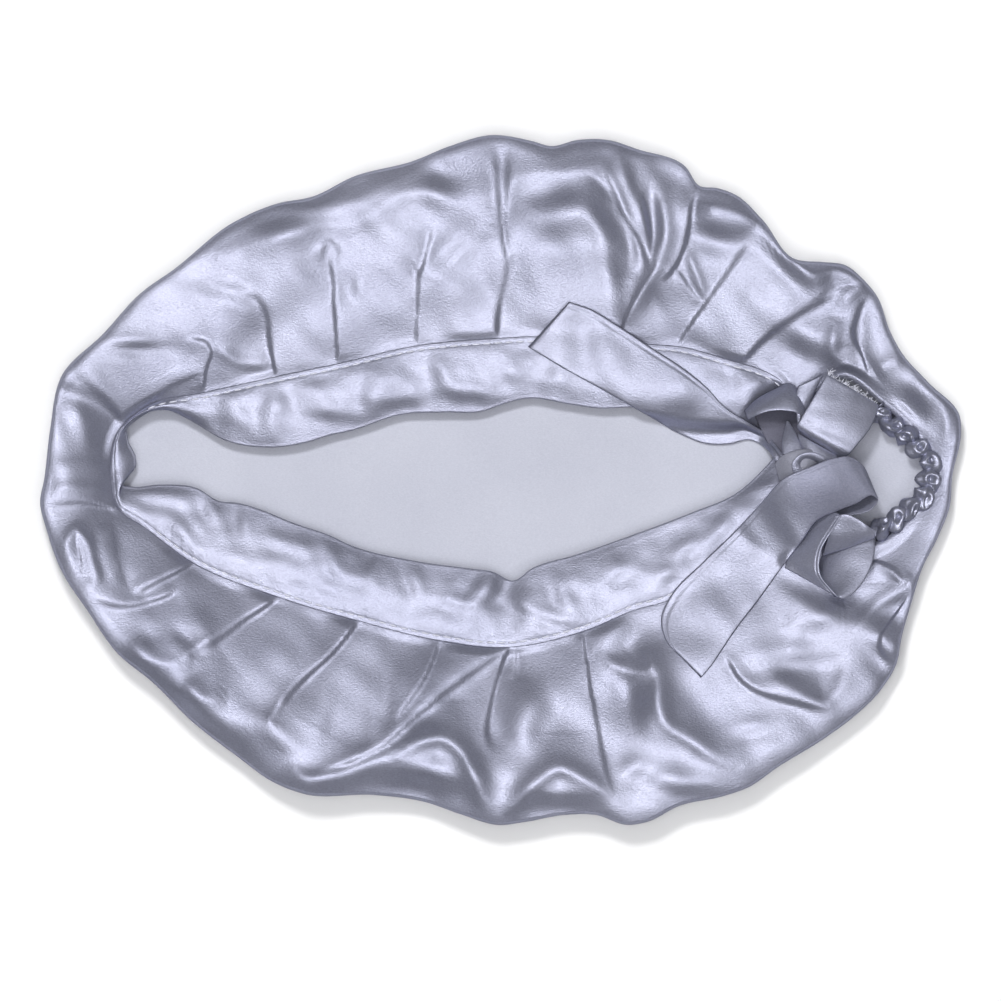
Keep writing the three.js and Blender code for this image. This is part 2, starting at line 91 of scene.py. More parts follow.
# The seam of the crown, clockwise: round the band, then along the casing at the nape
SEAM = [
    (112, 480), (119, 431), (150, 406), (204, 394), (276, 378), (338, 365), (417, 347), (492, 340),
    (530, 338), (572, 339), (620, 341), (644, 345), (679, 348), (724, 360), (779, 381), (800, 403),
    (820, 388), (840, 374), (884, 400), (918, 432), (941, 472), (918, 514), (882, 545), (838, 548),
    (790, 508), (745, 538), (700, 580), (666, 600), (637, 608), (583, 630), (508, 646), (438, 639),
    (360, 620), (276, 595), (196, 563), (142, 524), (118, 507),
]
# Where lines across the crown meet its outline and its seam
SPOKES = [
    ((40, 495), (120, 480)), ((60, 380), (125, 429)), ((110, 328), (163, 403)),
    ((173, 270), (204, 394)), ((234, 222), (240, 386)), ((300, 198), (276, 379)),
    ((355, 176), (338, 361)), ((413, 161), (417, 347)), ((492, 135), (497, 340)),
    ((553, 146), (530, 338)), ((625, 145), (572, 339)), ((697, 183), (620, 341)),
    ((735, 195), (678, 348)), ((775, 235), (722, 359)), ((800, 257), (762, 374)),
    ((835, 262), (797, 400)), ((862, 278), (830, 381)), ((902, 353), (884, 400)),
    ((953, 402), (918, 432)), ((955, 465), (941, 472)), ((935, 545), (918, 514)),
    ((908, 612), (882, 545)), ((893, 672), (838, 548)), ((850, 719), (790, 508)),
    ((800, 752), (745, 538)), ((749, 787), (700, 580)), ((680, 806), (640, 611)),
    ((612, 819), (590, 628)), ((530, 821), (545, 638)), ((460, 814), (508, 646)),
    ((400, 798), (438, 640)), ((304, 794), (358, 621)), ((240, 757), (276, 596)),
    ((170, 700), (196, 563)), ((112, 645), (158, 537)), ((55, 550), (128, 511)),
]
# Each spoke's share of the puff's full height
SPOKE_FULLNESS = [
    1, 1, 1, 1, 1, 1, 1, 1, 1, 1, 1, 1, 1, 1, 0.9, 0.7, 0.65, 0.5, 0.35, 0.2, 0.2, 0.25, 0.4, 0.55,
    0.7, 0.9, 1, 1, 1, 1, 1, 1, 1, 1, 1, 1,
]
# How far in from the outline the cloth droops at each spoke, in pixels
SPOKE_DROOP = [
    8, 8, 10, 10, 12, 14, 16, 16, 9, 16, 12, 10, 12, 8, 10, 8, 12, 7, 8, 8, 8, 8, 14, 18,
    22, 22, 20, 16, 30, 34, 40, 16, 34, 30, 20, 14,
]

# The band's lip, clockwise from its upper end at the knot round the forehead to its lower end
LIP_UPPER = [
    (125, 431), (130, 422), (146, 412), (166, 409), (193, 421), (227, 439), (273, 445), (307, 440),
    (330, 433), (349, 429), (403, 412), (445, 410), (483, 409), (500, 403), (529, 396), (570, 402),
    (599, 406), (640, 405), (690, 412), (735, 418), (774, 436),
]
LIP_LOWER = [
    (127, 444), (134, 459), (134, 468), (122, 480), (121, 486), (132, 489), (160, 487), (195, 490),
    (221, 504), (234, 505), (298, 527), (330, 538), (349, 547), (413, 563), (470, 571), (492, 574),
    (514, 583), (532, 571), (577, 557), (634, 537), (692, 515), (736, 496), (768, 467), (776, 458),
]

# Pleats of the crown. Each starts at the seam. Its numbers are how much higher the cloth stands
# on its right than on its left in mm, how wide the drop is at the line's start and end in
# pixels, and how far the high and low ground reach.
PLEATS = [
    (1.6, 0.5, 8, 26, [(277, 381), (270, 345), (264, 308), (258, 299), (240, 294), (192, 281)]),
    (-1.1, 0.5, 2, 18, [(203, 395), (206, 370), (211, 350), (206, 342), (196, 339), (183, 339)]),
    (-1.1, 3, 6, 14, [(150, 403), (165, 390), (185, 380), (205, 372)]),
    (3.2, 3, 11, 24, [(126, 428), (118, 415), (107, 402), (92, 387), (78, 375), (64, 368)]),
    (1.2, 0.5, 5, 18, [(126, 509), (112, 508), (95, 505), (78, 503), (60, 504), (42, 503)]),
    (1.9, 0.5, 4, 20, [(196, 562), (176, 573), (158, 582), (145, 589), (131, 597)]),
    (2.3, 0.5, 6, 22, [(277, 598), (262, 609), (245, 620), (228, 633), (214, 643), (202, 655)]),
    (2.3, 0.5, 4, 24, [(358, 622), (335, 651), (305, 679), (292, 692), (282, 704), (275, 718)]),
    (1.3, 0.5, 3, 16, [(439, 641), (433, 660), (424, 680), (413, 697), (402, 712), (394, 726)]),
    (3.2, 8, 3, 24, [(502, 653), (460, 682), (420, 714), (380, 748), (355, 760), (312, 774)]),
    (1.4, 0.5, 3, 24, [(510, 647), (502, 665), (495, 686), (490, 708), (487, 730), (493, 757)]),
    (0.8, 1.5, 3, 9, [(516, 650), (516, 665), (514, 682)]),
    (0.9, 0.5, 2, 22, [(583, 634), (591, 690), (597, 722), (602, 750), (608, 776), (616, 797)]),
    (1.1, 0.5, 3, 20, [(338, 364), (336, 335), (334, 306), (333, 280), (330, 262), (326, 248)]),
    (0.8, 0.5, 2, 18, [(417, 348), (417, 320), (418, 297), (418, 278), (414, 264), (409, 252)]),
    (-1.6, 1, 8, 26, [(497, 342), (497, 325), (499, 308), (503, 288), (508, 265), (520, 242)]),
    (1.1, 0.5, 4, 22, [(675, 350), (682, 338), (716, 289), (732, 266), (746, 246), (759, 228)]),
    (-1.9, 1, 6, 24, [(741, 363), (774, 331), (790, 320), (806, 310), (824, 300), (843, 290)]),
    (1.1, 0.5, 3, 16, [(621, 341), (622, 328), (628, 312), (636, 296), (656, 265), (663, 252)]),
]
# Pleats that start away from the seam
LOOSE_PLEATS = [
    (1.5, 7, 9, 16, [(112, 519), (114, 540), (118, 562), (124, 580), (130, 594)]),
    (-1.3, 7, 9, 16, [(98, 519), (99, 540), (103, 562), (110, 580), (114, 592)]),
    (1.6, 1, 4, 18, [(180, 588), (165, 597), (150, 602), (133, 606), (104, 603), (90, 596)]),
    (1.2, 0.5, 4, 16, [(418, 280), (424, 262), (428, 247), (434, 224)]),
    (-1.8, 2, 6, 14, [(508, 268), (504, 240), (501, 217), (498, 195), (496, 170), (494, 140)]),
    (1.6, 2, 6, 14, [(508, 268), (506, 240), (504, 217), (507, 195), (508, 170), (508, 140)]),
    (-1.6, 0.5, 3, 14, [(869, 378), (863, 358), (853, 330), (857, 317), (862, 304), (873, 293)]),
    (-1.8, 1, 4, 18, [(723, 652), (742, 681), (758, 692), (776, 698), (796, 703), (838, 712)]),
    (-1.5, 0.5, 3, 14, [(908, 597), (889, 623), (881, 636), (880, 648), (886, 657), (895, 665)]),
    (-1.8, 0.5, 3, 18, [(662, 284), (679, 260), (685, 245), (689, 225), (691, 205), (698, 187)]),
    (-2.0, 3, 3, 12, [(598, 160), (606, 175), (614, 190), (622, 210), (642, 248), (649, 274)]),
    (1.4, 0.5, 3, 12, [(640, 190), (646, 215), (650, 240), (650, 268)]),
    (1.5, 0.5, 2, 12, [(868, 560), (882, 563), (893, 569), (901, 577), (908, 584)]),
    (1.0, 1, 2, 10, [(677, 268), (690, 288), (704, 305)]),
]
# A ridge: height in mm, how wide it is on its left and right in pixels, then its points
RIDGES = [
    (1.1, 12, 18, [(200, 262), (212, 258), (277, 241), (298, 233), (330, 227)]),
    (1.0, 7, 7, [(210, 344), (224, 353), (237, 361), (277, 363)]),
    (1.4, 8, 9, [(110, 489), (85, 487), (51, 486)]),
    (1.5, 6, 8, [(70, 560), (68, 540), (76, 530), (86, 540), (92, 560), (96, 580), (84, 590)]),
    (1.3, 10, 10, [(130, 639), (143, 659), (169, 663), (193, 659)]),
    (1.2, 12, 9, [(185, 679), (201, 696), (228, 698)]),
    (0.8, 5, 5, [(292, 694), (276, 710), (270, 720), (278, 728)]),
    (0.7, 5, 5, [(216, 636), (196, 647), (188, 655), (196, 660)]),
    (2.6, 8, 11, [(288, 762), (304, 777), (337, 774), (377, 758), (400, 744)]),
    (3.2, 12, 9, [(390, 760), (416, 743), (442, 738), (461, 750), (473, 772), (482, 798), (494, 815)]),
    (3.0, 12, 9, [(500, 812), (516, 803), (537, 781), (559, 769), (580, 776), (600, 789), (612, 800)]),
    (1.4, 8, 7, [(596, 652), (617, 666), (637, 672), (650, 667), (642, 647)]),
    (2.2, 12, 8, [(644, 647), (658, 677), (659, 704), (667, 723), (694, 742), (723, 761), (740, 768)]),
    (1.4, 14, 12, [(846, 606), (815, 619), (780, 626)]),
    (1.6, 7, 9, [(874, 564), (898, 573), (908, 583), (893, 595), (876, 606), (853, 633)]),
    (1.6, 10, 12, [(760, 668), (790, 688), (826, 703), (843, 682), (846, 658)]),
    (1.4, 10, 14, [(280, 240), (316, 226), (351, 224), (378, 212), (405, 194), (421, 192), (469, 210)]),
    (0.6, 4, 4, [(320, 262), (320, 250), (327, 243), (334, 248), (336, 262)]),
    (2.0, 24, 12, [(505, 240), (503, 190), (517, 176), (556, 169), (591, 172), (609, 189), (622, 210)]),
    (2.4, 9, 9, [(591, 172), (609, 189), (622, 210), (628, 231), (631, 262), (627, 280)]),
    (1.5, 6, 7, [(616, 149), (627, 181), (645, 226), (652, 247)]),
    (2.6, 10, 9, [(645, 160), (656, 185), (663, 210), (665, 235), (656, 262), (640, 295), (622, 324)]),
    (1.1, 5, 5, [(686, 249), (698, 278), (706, 303)]),
    (1.8, 8, 12, [(695, 206), (725, 210), (759, 224)]),
    (2.2, 8, 10, [(763, 234), (794, 261), (813, 274), (835, 271), (861, 284), (847, 297), (835, 315)]),
    (2.0, 9, 8, [(835, 315), (834, 336), (833, 352), (841, 362), (861, 375), (872, 385)]),
    (1.4, 9, 9, [(875, 373), (893, 362), (905, 359)]),
    (1.6, 8, 7, [(921, 381), (944, 407), (947, 434), (942, 447)]),
    (1.6, 10, 10, [(942, 541), (925, 590), (901, 649)]),
]
# Ground that slopes between two folds: how steep in degrees, its middle, half length and half
# width, and the way down in degrees, counter-clockwise from +X
SLOPES = [
    (18, (279, 224), 22, 10, 103), (20, (322, 200), 26, 10, 98), (14, (372, 186), 26, 10, 112),
    (24, (135, 345), 19, 6, 270), (24, (76, 391), 16, 8, 240), (16, (74, 418), 18, 9, 200),
    (16, (76, 474), 26, 9, 270), (14, (225, 291), 26, 10, 80), (12, (149, 643), 10, 9, 60),
    (14, (181, 641), 11, 8, 60), (26, (258, 736), 34, 14, 235), (24, (212, 726), 56, 12, 232),
    (20, (536, 724), 22, 15, 340), (30, (428, 780), 36, 14, 262), (28, (562, 800), 24, 11, 270),
    (24, (640, 700), 26, 14, 180), (20, (618, 642), 15, 11, 300), (20, (637, 773), 10, 9, 300),
    (20, (686, 788), 24, 10, 265), (14, (756, 730), 16, 7, 280), (20, (790, 660), 36, 11, 275),
    (22, (445, 182), 22, 13, 80), (12, (354, 288), 9, 7, 180), (12, (450, 253), 32, 9, 135),
    (24, (558, 200), 28, 17, 285), (20, (602, 217), 18, 10, 215), (16, (615, 272), 32, 9, 190),
    (22, (648, 212), 26, 7, 0), (16, (658, 295), 14, 8, 200), (24, (718, 232), 22, 12, 260),
    (22, (806, 346), 28, 14, 250), (22, (790, 268), 22, 10, 225), (18, (855, 335), 28, 7, 0),
    (36, (917, 400), 15, 11, 215), (25, (866, 618), 34, 15, 60), (24, (886, 655), 30, 13, 215),
    (10, (380, 700), 32, 7, 355), (9, (330, 712), 26, 9, 350),
    (20, (812, 600), 24, 9, 60), (9, (700, 690), 30, 22, 300), (8, (560, 690), 20, 18, 200),
    (8, (300, 640), 26, 18, 330), (8, (470, 300), 24, 18, 10), (8, (250, 330), 26, 16, 300),
]
# A pleat reaches so many times its own reach, and it fades at these shares of its length
PLEAT_REACH = 4
PLEAT_STARTS = 0.18
PLEAT_ENDS = 0.78
# Pixels within DRAWN of a pleat are drawn to within DROP_HALF of it
DRAWN = 2.6
DROP_HALF = 0.55
DRAWN_LEAST = 0.05
DRAWN_SAMPLES = 60
# A ridge reaches so many times its width, this sharply, and fades in and out over these shares
RIDGE_REACH = 3
RIDGE_SHARP = 1.3
RIDGE_STARTS = (-0.1, 0.3)
RIDGE_ENDS = (0.7, 1.1)
RIPPLE_WAVES = 9


def smooth_line(points, closed=False, samples=16):
    """A dense line through given points, in as many coordinates as they have."""
    p = np.asarray(points, float)
    if closed:
        p = np.vstack([p[-1], p, p[0], p[1]])
    else:
        p = np.vstack([2 * p[0] - p[1], p, 2 * p[-1] - p[-2]])
    chord = np.maximum(np.linalg.norm(np.diff(p, axis=0), axis=1), 1e-9)[:, None]
    speed = np.diff(p, axis=0) / chord
    turn = (speed[:-1] * chord[1:] + speed[1:] * chord[:-1]) / (chord[:-1] + chord[1:])
    t = np.linspace(0, 1, samples, endpoint=False)[:, None]
    pieces = []
    for i in range(1, len(p) - 2):
        here, there, reach = p[i], p[i + 1], chord[i]
        pieces.append(
            (2 * t**3 - 3 * t**2 + 1) * here
            + (t**3 - 2 * t**2 + t) * reach * turn[i - 1]
            + (3 * t**2 - 2 * t**3) * there
            + (t**3 - t**2) * reach * turn[i]
        )
    if not closed:
        pieces.append(p[-2:-1])
    return np.vstack(pieces)


def loop_line(points):
    """A dense closed line through given points, with its first point again at its end."""
    line = smooth_line(points, closed=True)
    return np.vstack([line, line[:1]])


def lengths_along(line):
    """How far along the line each of its points is, from 0 to 1."""
    steps = np.linalg.norm(np.diff(line, axis=0), axis=1)
    run = np.concatenate([[0], np.cumsum(steps)])
    return run / run[-1]


def points_at(line, shares):
    """The points at these shares of the line's length."""
    run = lengths_along(line)
    return np.stack([np.interp(shares, run, line[:, k]) for k in range(line.shape[1])], -1)


def share_nearest(line, point):
    """The share of the line's length that is nearest to a point."""
    distance = np.linalg.norm(line - np.asarray(point, float), axis=1)
    return lengths_along(line)[int(distance.argmin())]


def ease(x, low, high):
    """0 below low, 1 above high, and smooth between."""
    t = np.clip((x - low) / (high - low), 0, 1)
    return t * t * (3 - 2 * t)


def place(x, y, z):
    """The points at heights z that the camera sees at pixels x, y of the photograph."""
    wide = PIXEL * (CAMERA_HEIGHT - z) / (CAMERA_HEIGHT - RIM_HEIGHT)
    across = camera_x + (x - PHOTO_MIDDLE) * wide
    up = camera_y - (y - PHOTO_MIDDLE) * wide
    return np.stack([across, up, z + 0 * across], -1)


def near_line(x, y, line, reach):
    """Which pixels lie near a line, how far from it, and the number of their closest point on it."""
    low, high = line.min(0) - reach, line.max(0) + reach
    near = np.nonzero((x > low[0]) & (x < high[0]) & (y > low[1]) & (y < high[1]))[0]
    gaps = np.hypot(x[near, None] - line[None, :, 0], y[near, None] - line[None, :, 1])
    closest = gaps.argmin(1)
    return near, gaps[np.arange(len(near)), closest], closest


def beside(x, y, points, reach):
    """Where pixels lie along a line: which are near it, their distance, their side and how far
    along it they are."""
    line = smooth_line(points)
    near, gap, closest = near_line(x, y, line, reach)
    ahead = np.gradient(line, axis=0)[closest]
    offset = np.stack([x[near], y[near]], -1) - line[closest]
    side = ahead[:, 0] * offset[:, 1] - ahead[:, 1] * offset[:, 0]
    return near, gap, side, lengths_along(line)[closest]


def add_pleat(z, x, y, loose, step, narrow, broad, reach, points):
    """Presses a pleat into heights z: a drop across its line that evens out away from it. A loose
    one starts softly, and all end softly."""
    near, gap, side, run = beside(x, y, points, PLEAT_REACH * reach)
    across = np.where(side < 0, -gap, gap)
    wide = narrow + (broad - narrow) * run
    drop = np.tanh(across / wide) / 2 * np.exp(-gap / reach)
    fade = 1 - ease(run, PLEAT_ENDS, 1.0)
    if loose:
        fade = fade * ease(run, 0, PLEAT_STARTS)
    z[near] += step * MM * drop * fade


def draw_to(x, y, points):
    """Draws the pixels beside a line closer to it, so that edges of the mesh follow the line."""
    line = smooth_line(points, samples=DRAWN_SAMPLES)
    near, gap, closest = near_line(x, y, line, DRAWN)
    inside = (gap < DRAWN) & (closest > 0) & (closest < len(line) - 1)
    gap, foot, near = gap[inside], line[closest[inside]], near[inside]
    wanted = DROP_HALF + (DRAWN - DROP_HALF) * (gap / DRAWN) ** 2
    pull = wanted / np.maximum(gap, DRAWN_LEAST)
    x[near] = foot[:, 0] + (x[near] - foot[:, 0]) * pull
    y[near] = foot[:, 1] + (y[near] - foot[:, 1]) * pull


def add_ridge(z, x, y, height, left, right, points):
    """Raises a rounded ridge that fades out at both ends."""
    near, gap, side, run = beside(x, y, points, RIDGE_REACH * max(left, right))
    fade = ease(run, *RIDGE_STARTS) * (1 - ease(run, *RIDGE_ENDS))
    width = np.where(side < 0, left, right)
    z[near] += height * MM * fade / np.cosh(RIDGE_SHARP * gap / width)


def add_slope(z, x, y, steep, middle, long, wide, way):
    """A rise and a dip side by side, so that the ground between them slopes down one way."""
    angle = math.radians(way)
    across, along = x - middle[0], middle[1] - y
    down = across * math.cos(angle) + along * math.sin(angle)
    level = -across * math.sin(angle) + along * math.cos(angle)
    spread = np.exp(-((down / wide) ** 2) / 2 - (level / long) ** 2 / 2)
    z -= math.tan(math.radians(steep)) * PIXEL * down * spread


def ripple(x, y, size, seed):
    """Smooth random waves about 1 high, made of a few plane waves about size across."""
    draw = np.random.default_rng(seed)
    total = 0 * x
    for _ in range(RIPPLE_WAVES):
        angle, phase = draw.uniform(0, 2 * math.pi, 2)
        length = size * draw.uniform(0.7, 1.6)
        wave = (x * math.cos(angle) + y * math.sin(angle)) / length
        total = total + np.sin(2 * math.pi * wave + phase)
    return total / math.sqrt(RIPPLE_WAVES)


def ripples_at(x, y, ripples):
    """The sum of some ripples, each given as its height, its size and its seed."""
    return sum(height * ripple(x, y, size, seed) for height, size, seed in ripples)


def waves_over(x, y, slopes, ripples=()):
    """Heights over a grid of pixels, from slopes and ripples."""
    lift = np.zeros(x.size)
    for slope in slopes:
        add_slope(lift, x.ravel(), y.ravel(), *slope)
    for one in ripples:
        lift += ripples_at(x.ravel(), y.ravel(), [one])
    return lift.reshape(x.shape)


def soften(grid, rounds):
    """Evens a grid of heights out between neighbours, rows by columns."""
    grid = grid.copy()
    for _ in range(rounds):
        grid[:, 1:-1] = grid[:, 1:-1] / 2 + (grid[:, 2:] + grid[:, :-2]) / 4
        grid[1:-1] = grid[1:-1] / 2 + (grid[2:] + grid[:-2]) / 4
    return grid


def grid_normals(grid):
    """Unit normals of a grid of points, rows by columns."""
    normals = np.cross(np.gradient(grid, axis=1), np.gradient(grid, axis=0))
    return normals / np.maximum(np.linalg.norm(normals, axis=2, keepdims=True), 1e-12)


def grid_faces(rows, columns, closed, first=0):
    """Quads of a grid whose points are numbered row by row from first."""
    r, c = np.meshgrid(np.arange(rows - 1), np.arange(columns - (not closed)), indexing="ij")
    after = (c + 1) % columns
    here, below = first + r * columns, first + (r + 1) * columns
    return np.stack([here + c, below + c, below + after, here + after], -1).reshape(-1, 4)


def tube_faces(rows, columns, first=0):
    """Faces of a tube whose points are numbered from first, closed to the two points after them."""
    faces = list(grid_faces(rows, columns, True, first))
    low, ends = first + (rows - 1) * columns, first + rows * columns
    for c in range(columns):
        after = (c + 1) % columns
        faces.append(np.array([first + c, first + after, ends]))
        faces.append(np.array([low + after, low + c, ends + 1]))
    return faces


def signed_volume(points, faces):
    """Volume inside the faces, negative where they face in."""
    a, b, c = points[faces[:, 0]], points[faces[:, 1]], points[faces[:, 2]]
    d = points[faces[:, -1]]
    halves = np.einsum("ij,ij->i", a, np.cross(b, c)) + np.einsum("ij,ij->i", a, np.cross(c, d))
    return halves.sum() / 6


def make_piece(name, points, faces, materials, slots=None):
    """A smooth-shaded mesh object with its faces turned out."""
    faces = [np.asarray(f) for f in faces]
    quads = np.array([f if len(f) == 4 else [*f, f[-1]] for f in faces])
    if signed_volume(points, quads) < 0:
        faces = [f[::-1] for f in faces]
    mesh = bpy.data.meshes.new(name)
    mesh.from_pydata(points.tolist(), [], [f.tolist() for f in faces])
    mesh.polygons.foreach_set("use_smooth", [True] * len(faces))
    for material in materials:
        mesh.materials.append(material)
    if slots is not None:
        mesh.polygons.foreach_set("material_index", slots)
    mesh.update()
    piece = bpy.data.objects.new(name, mesh)
    bpy.context.scene.collection.objects.link(piece)
    return piece


# Materials

# How satin's highlights darken at a grazing angle
EDGE_TINT = (0.17, 0.17, 0.21)
SHEEN_ROUGHNESS = 0.4
BUMP_DEPTH = 0.2 * MM
# The threads run at this angle, and their grain is drawn out by this much along them
THREAD_ANGLE = math.radians(28)
THREAD_STRETCH = (0.5, 1, 1)
SPARKLE_SIZE = 0.8
WEAR_SIZE = 4.0
# How much the grain's tone counts beside the dye's, and where their sum is dark and light
GRAIN_COUNTS = 1.6
DARK_TONE = 0.85
LIGHT_TONE = 1.75
# A dye, or a painted shade, goes from its dark to its light colour
LAVENDER = (0.285, 0.295, 0.385), (0.43, 0.44, 0.55)
REVERSE = (0.455, 0.468, 0.55), (0.55, 0.563, 0.645)
# Painted shade: darker tones for the knot's wrap, standing in for the shade inside the knot
KNOT_WRAP_SHADE = (0.22, 0.225, 0.28), (0.32, 0.325, 0.39)
# Painted shadow: near-black tones for the band's turned-in end, standing in for the dark hole beside
# the knot
HOLE_SHADOW_TONES = (0.12, 0.12, 0.16), (0.18, 0.18, 0.23)
YARN = (0.62, 0.62, 0.64), (0.78, 0.78, 0.8)
THREAD = (0.62, 0.63, 0.73), (0.76, 0.77, 0.85)
# Painted shade on the curl over the knot, which darkens its colour and lowers its metallic in a round
# patch: its middle, radius, tint and metallic
CURL_PAINTED_SHADE = place(844, 484, 24 * MM), 25 * MM, (0.68, 0.68, 0.7), 0.4


def new_group(name, inputs, outputs):
    """An empty shader node group with its sockets."""
    group = bpy.data.node_groups.new(name, "ShaderNodeTree")
    for label, kind, value in inputs:
        socket = group.interface.new_socket(label, in_out="INPUT", socket_type="NodeSocket" + kind)
        socket.default_value = value
    for label in outputs:
        group.interface.new_socket(label, in_out="OUTPUT", socket_type="NodeSocketFloat")
    return group, group.nodes.new("NodeGroupInput"), group.nodes.new("NodeGroupOutput")


def add_node(tree, kind, **settings):
    """A node with its settings. A setting that starts with in_ is the value of an input."""
    node = tree.nodes.new("ShaderNode" + kind)
    for key, value in settings.items():
        if key.startswith("in_"):
            node.inputs[key[3:].replace("_", " ")].default_value = value
        else:
            setattr(node, key, value)
    return node


def times(tree, factor):
    """A node that multiplies its first input by a factor."""
    node = add_node(tree, "Math", operation="MULTIPLY")
    node.inputs[1].default_value = factor
    return node


def wire(tree, *links):
    """Links nodes. Each link is a node, its output, the next node and its input."""
    for source, outlet, target, inlet in links:
        tree.links.new(source.outputs[outlet], target.inputs[inlet])


def satin_grain_group():
    """Satin's long threads and its fine sparkle: a height for bump and a tone around 0.5."""
    group, given, made = new_group(
        "satin_grain",
        [("Threads per metre", "Float", 2600.0), ("Slub", "Float", 0.5)],
        ["Height", "Tone"],
    )
    spot = add_node(group, "TexCoord")
    along = add_node(group, "Mapping", in_Rotation=(0, 0, THREAD_ANGLE), in_Scale=THREAD_STRETCH)
    threads = add_node(group, "TexNoise", in_Detail=1.0, in_Roughness=0.4)
    sparkle = add_node(group, "TexNoise", in_Detail=2.0, in_Roughness=0.6)
    finer = times(group, SPARKLE_SIZE)
    mix = add_node(group, "Mix")
    wire(
        group,
        (spot, "Object", along, "Vector"), (along, "Vector", threads, "Vector"),
        (spot, "Object", sparkle, "Vector"), (given, "Threads per metre", threads, "Scale"),
        (given, "Threads per metre", finer, 0), (finer, 0, sparkle, "Scale"),
        (given, "Slub", mix, "Factor"), (sparkle, "Fac", mix, "A"), (threads, "Fac", mix, "B"),
        (mix, "Result", made, "Height"), (mix, "Result", made, "Tone"),
    )
    return group


def painted_shade_patch_group():
    """A round patch for painted shade: 1 within three fifths of its radius of its centre, and 0 beyond
    the radius.
    """
    group, given, made = new_group(
        "painted_shade_patch", [("Centre", "Vector", (0, 0, 0)), ("Radius", "Float", 0.02)], ["Mask"]
    )
    spot = add_node(group, "TexCoord")
    away = add_node(group, "VectorMath", operation="DISTANCE")
    share = add_node(group, "Math", operation="DIVIDE")
    fade = add_node(
        group, "MapRange", interpolation_type="SMOOTHSTEP",
        in_From_Min=0.6, in_From_Max=1.0, in_To_Min=1, in_To_Max=0,
    )
    wire(
        group,
        (spot, "Object", away, 0), (given, "Centre", away, 1), (away, "Value", share, 0),
        (given, "Radius", share, 1), (share, 0, fade, "Value"), (fade, "Result", made, "Mask"),
    )
    return group


def dye_group():
    """Slow clouds of lighter and darker dye and of handling wear, around 0.5."""
    group, given, made = new_group(
        "dye_clouds", [("Clouds per metre", "Float", 22.0)], ["Tone", "Wear"]
    )
    spot = add_node(group, "TexCoord")
    clouds = add_node(group, "TexNoise", in_Detail=3.0, in_Roughness=0.55)
    rubbed = add_node(group, "TexNoise", in_Detail=4.0, in_Roughness=0.7)
    closer = times(group, WEAR_SIZE)
    wire(
        group,
        (spot, "Object", clouds, "Vector"), (spot, "Object", rubbed, "Vector"),
        (given, "Clouds per metre", clouds, "Scale"), (given, "Clouds per metre", closer, 0),
        (closer, 0, rubbed, "Scale"), (clouds, "Fac", made, "Tone"), (rubbed, "Fac", made, "Wear"),
    )
    return group


satin_grain = satin_grain_group()
dye_clouds = dye_group()
painted_shade_patch = painted_shade_patch_group()


def cloth_material(name, dark, light, metallic, roughness, spread, grain, threads, sheen=0.0):
    """Cloth of one dye, or of painted shade: its colour runs between dark and light, and its grain is a
    fine bump.
    """
    material = bpy.data.materials.new(name)
    material.use_nodes = True
    tree = material.node_tree
    shader = tree.nodes["Principled BSDF"]
    for label, value in (
        ("Metallic", metallic), ("Sheen Weight", sheen), ("Sheen Roughness", SHEEN_ROUGHNESS),
        ("Specular Tint", (*EDGE_TINT, 1)),
    ):
        shader.inputs[label].default_value = value
    grains = add_node(tree, "Group", node_tree=satin_grain, in_Threads_per_metre=threads)
    clouds = add_node(tree, "Group", node_tree=dye_clouds)
    tone = add_node(tree, "Math", operation="MULTIPLY_ADD")
    tone.inputs[1].default_value = GRAIN_COUNTS
    share = add_node(tree, "MapRange", in_From_Min=DARK_TONE, in_From_Max=LIGHT_TONE)
    colour = add_node(tree, "Mix", data_type="RGBA", in_A=(*dark, 1), in_B=(*light, 1))
    rough = add_node(
        tree, "MapRange", in_From_Min=0.3, in_From_Max=0.7,
        in_To_Min=roughness - spread, in_To_Max=roughness + spread,
    )
    bump = add_node(tree, "Bump", in_Strength=grain, in_Distance=BUMP_DEPTH)
    wire(
        tree,
        (grains, "Tone", tone, 0), (clouds, "Tone", tone, 2), (tone, 0, share, "Value"),
        (share, "Result", colour, "Factor"), (colour, "Result", shader, "Base Color"),
        (clouds, "Wear", rough, "Value"), (rough, "Result", shader, "Roughness"),
        (grains, "Height", bump, "Height"), (bump, "Normal", shader, "Normal"),
    )
    return material


def add_painted_shade_patch(material, centre, radius, dark, metallic):
    """Paints shade within a round patch: darkens a material's colour there and lowers its metallic."""
    tree = material.node_tree
    shader = tree.nodes["Principled BSDF"]
    patch = add_node(tree, "Group", node_tree=painted_shade_patch, in_Centre=centre, in_Radius=radius)
    colour = add_node(tree, "Mix", data_type="RGBA", blend_type="MULTIPLY", in_B=(*dark, 1))
    metal = add_node(
        tree, "MapRange", in_To_Min=shader.inputs["Metallic"].default_value, in_To_Max=metallic
    )
    tree.links.new(shader.inputs["Base Color"].links[0].from_socket, colour.inputs["A"])
    wire(
        tree,
        (patch, "Mask", colour, "Factor"), (colour, "Result", shader, "Base Color"),
        (patch, "Mask", metal, "Value"), (metal, "Result", shader, "Metallic"),
    )


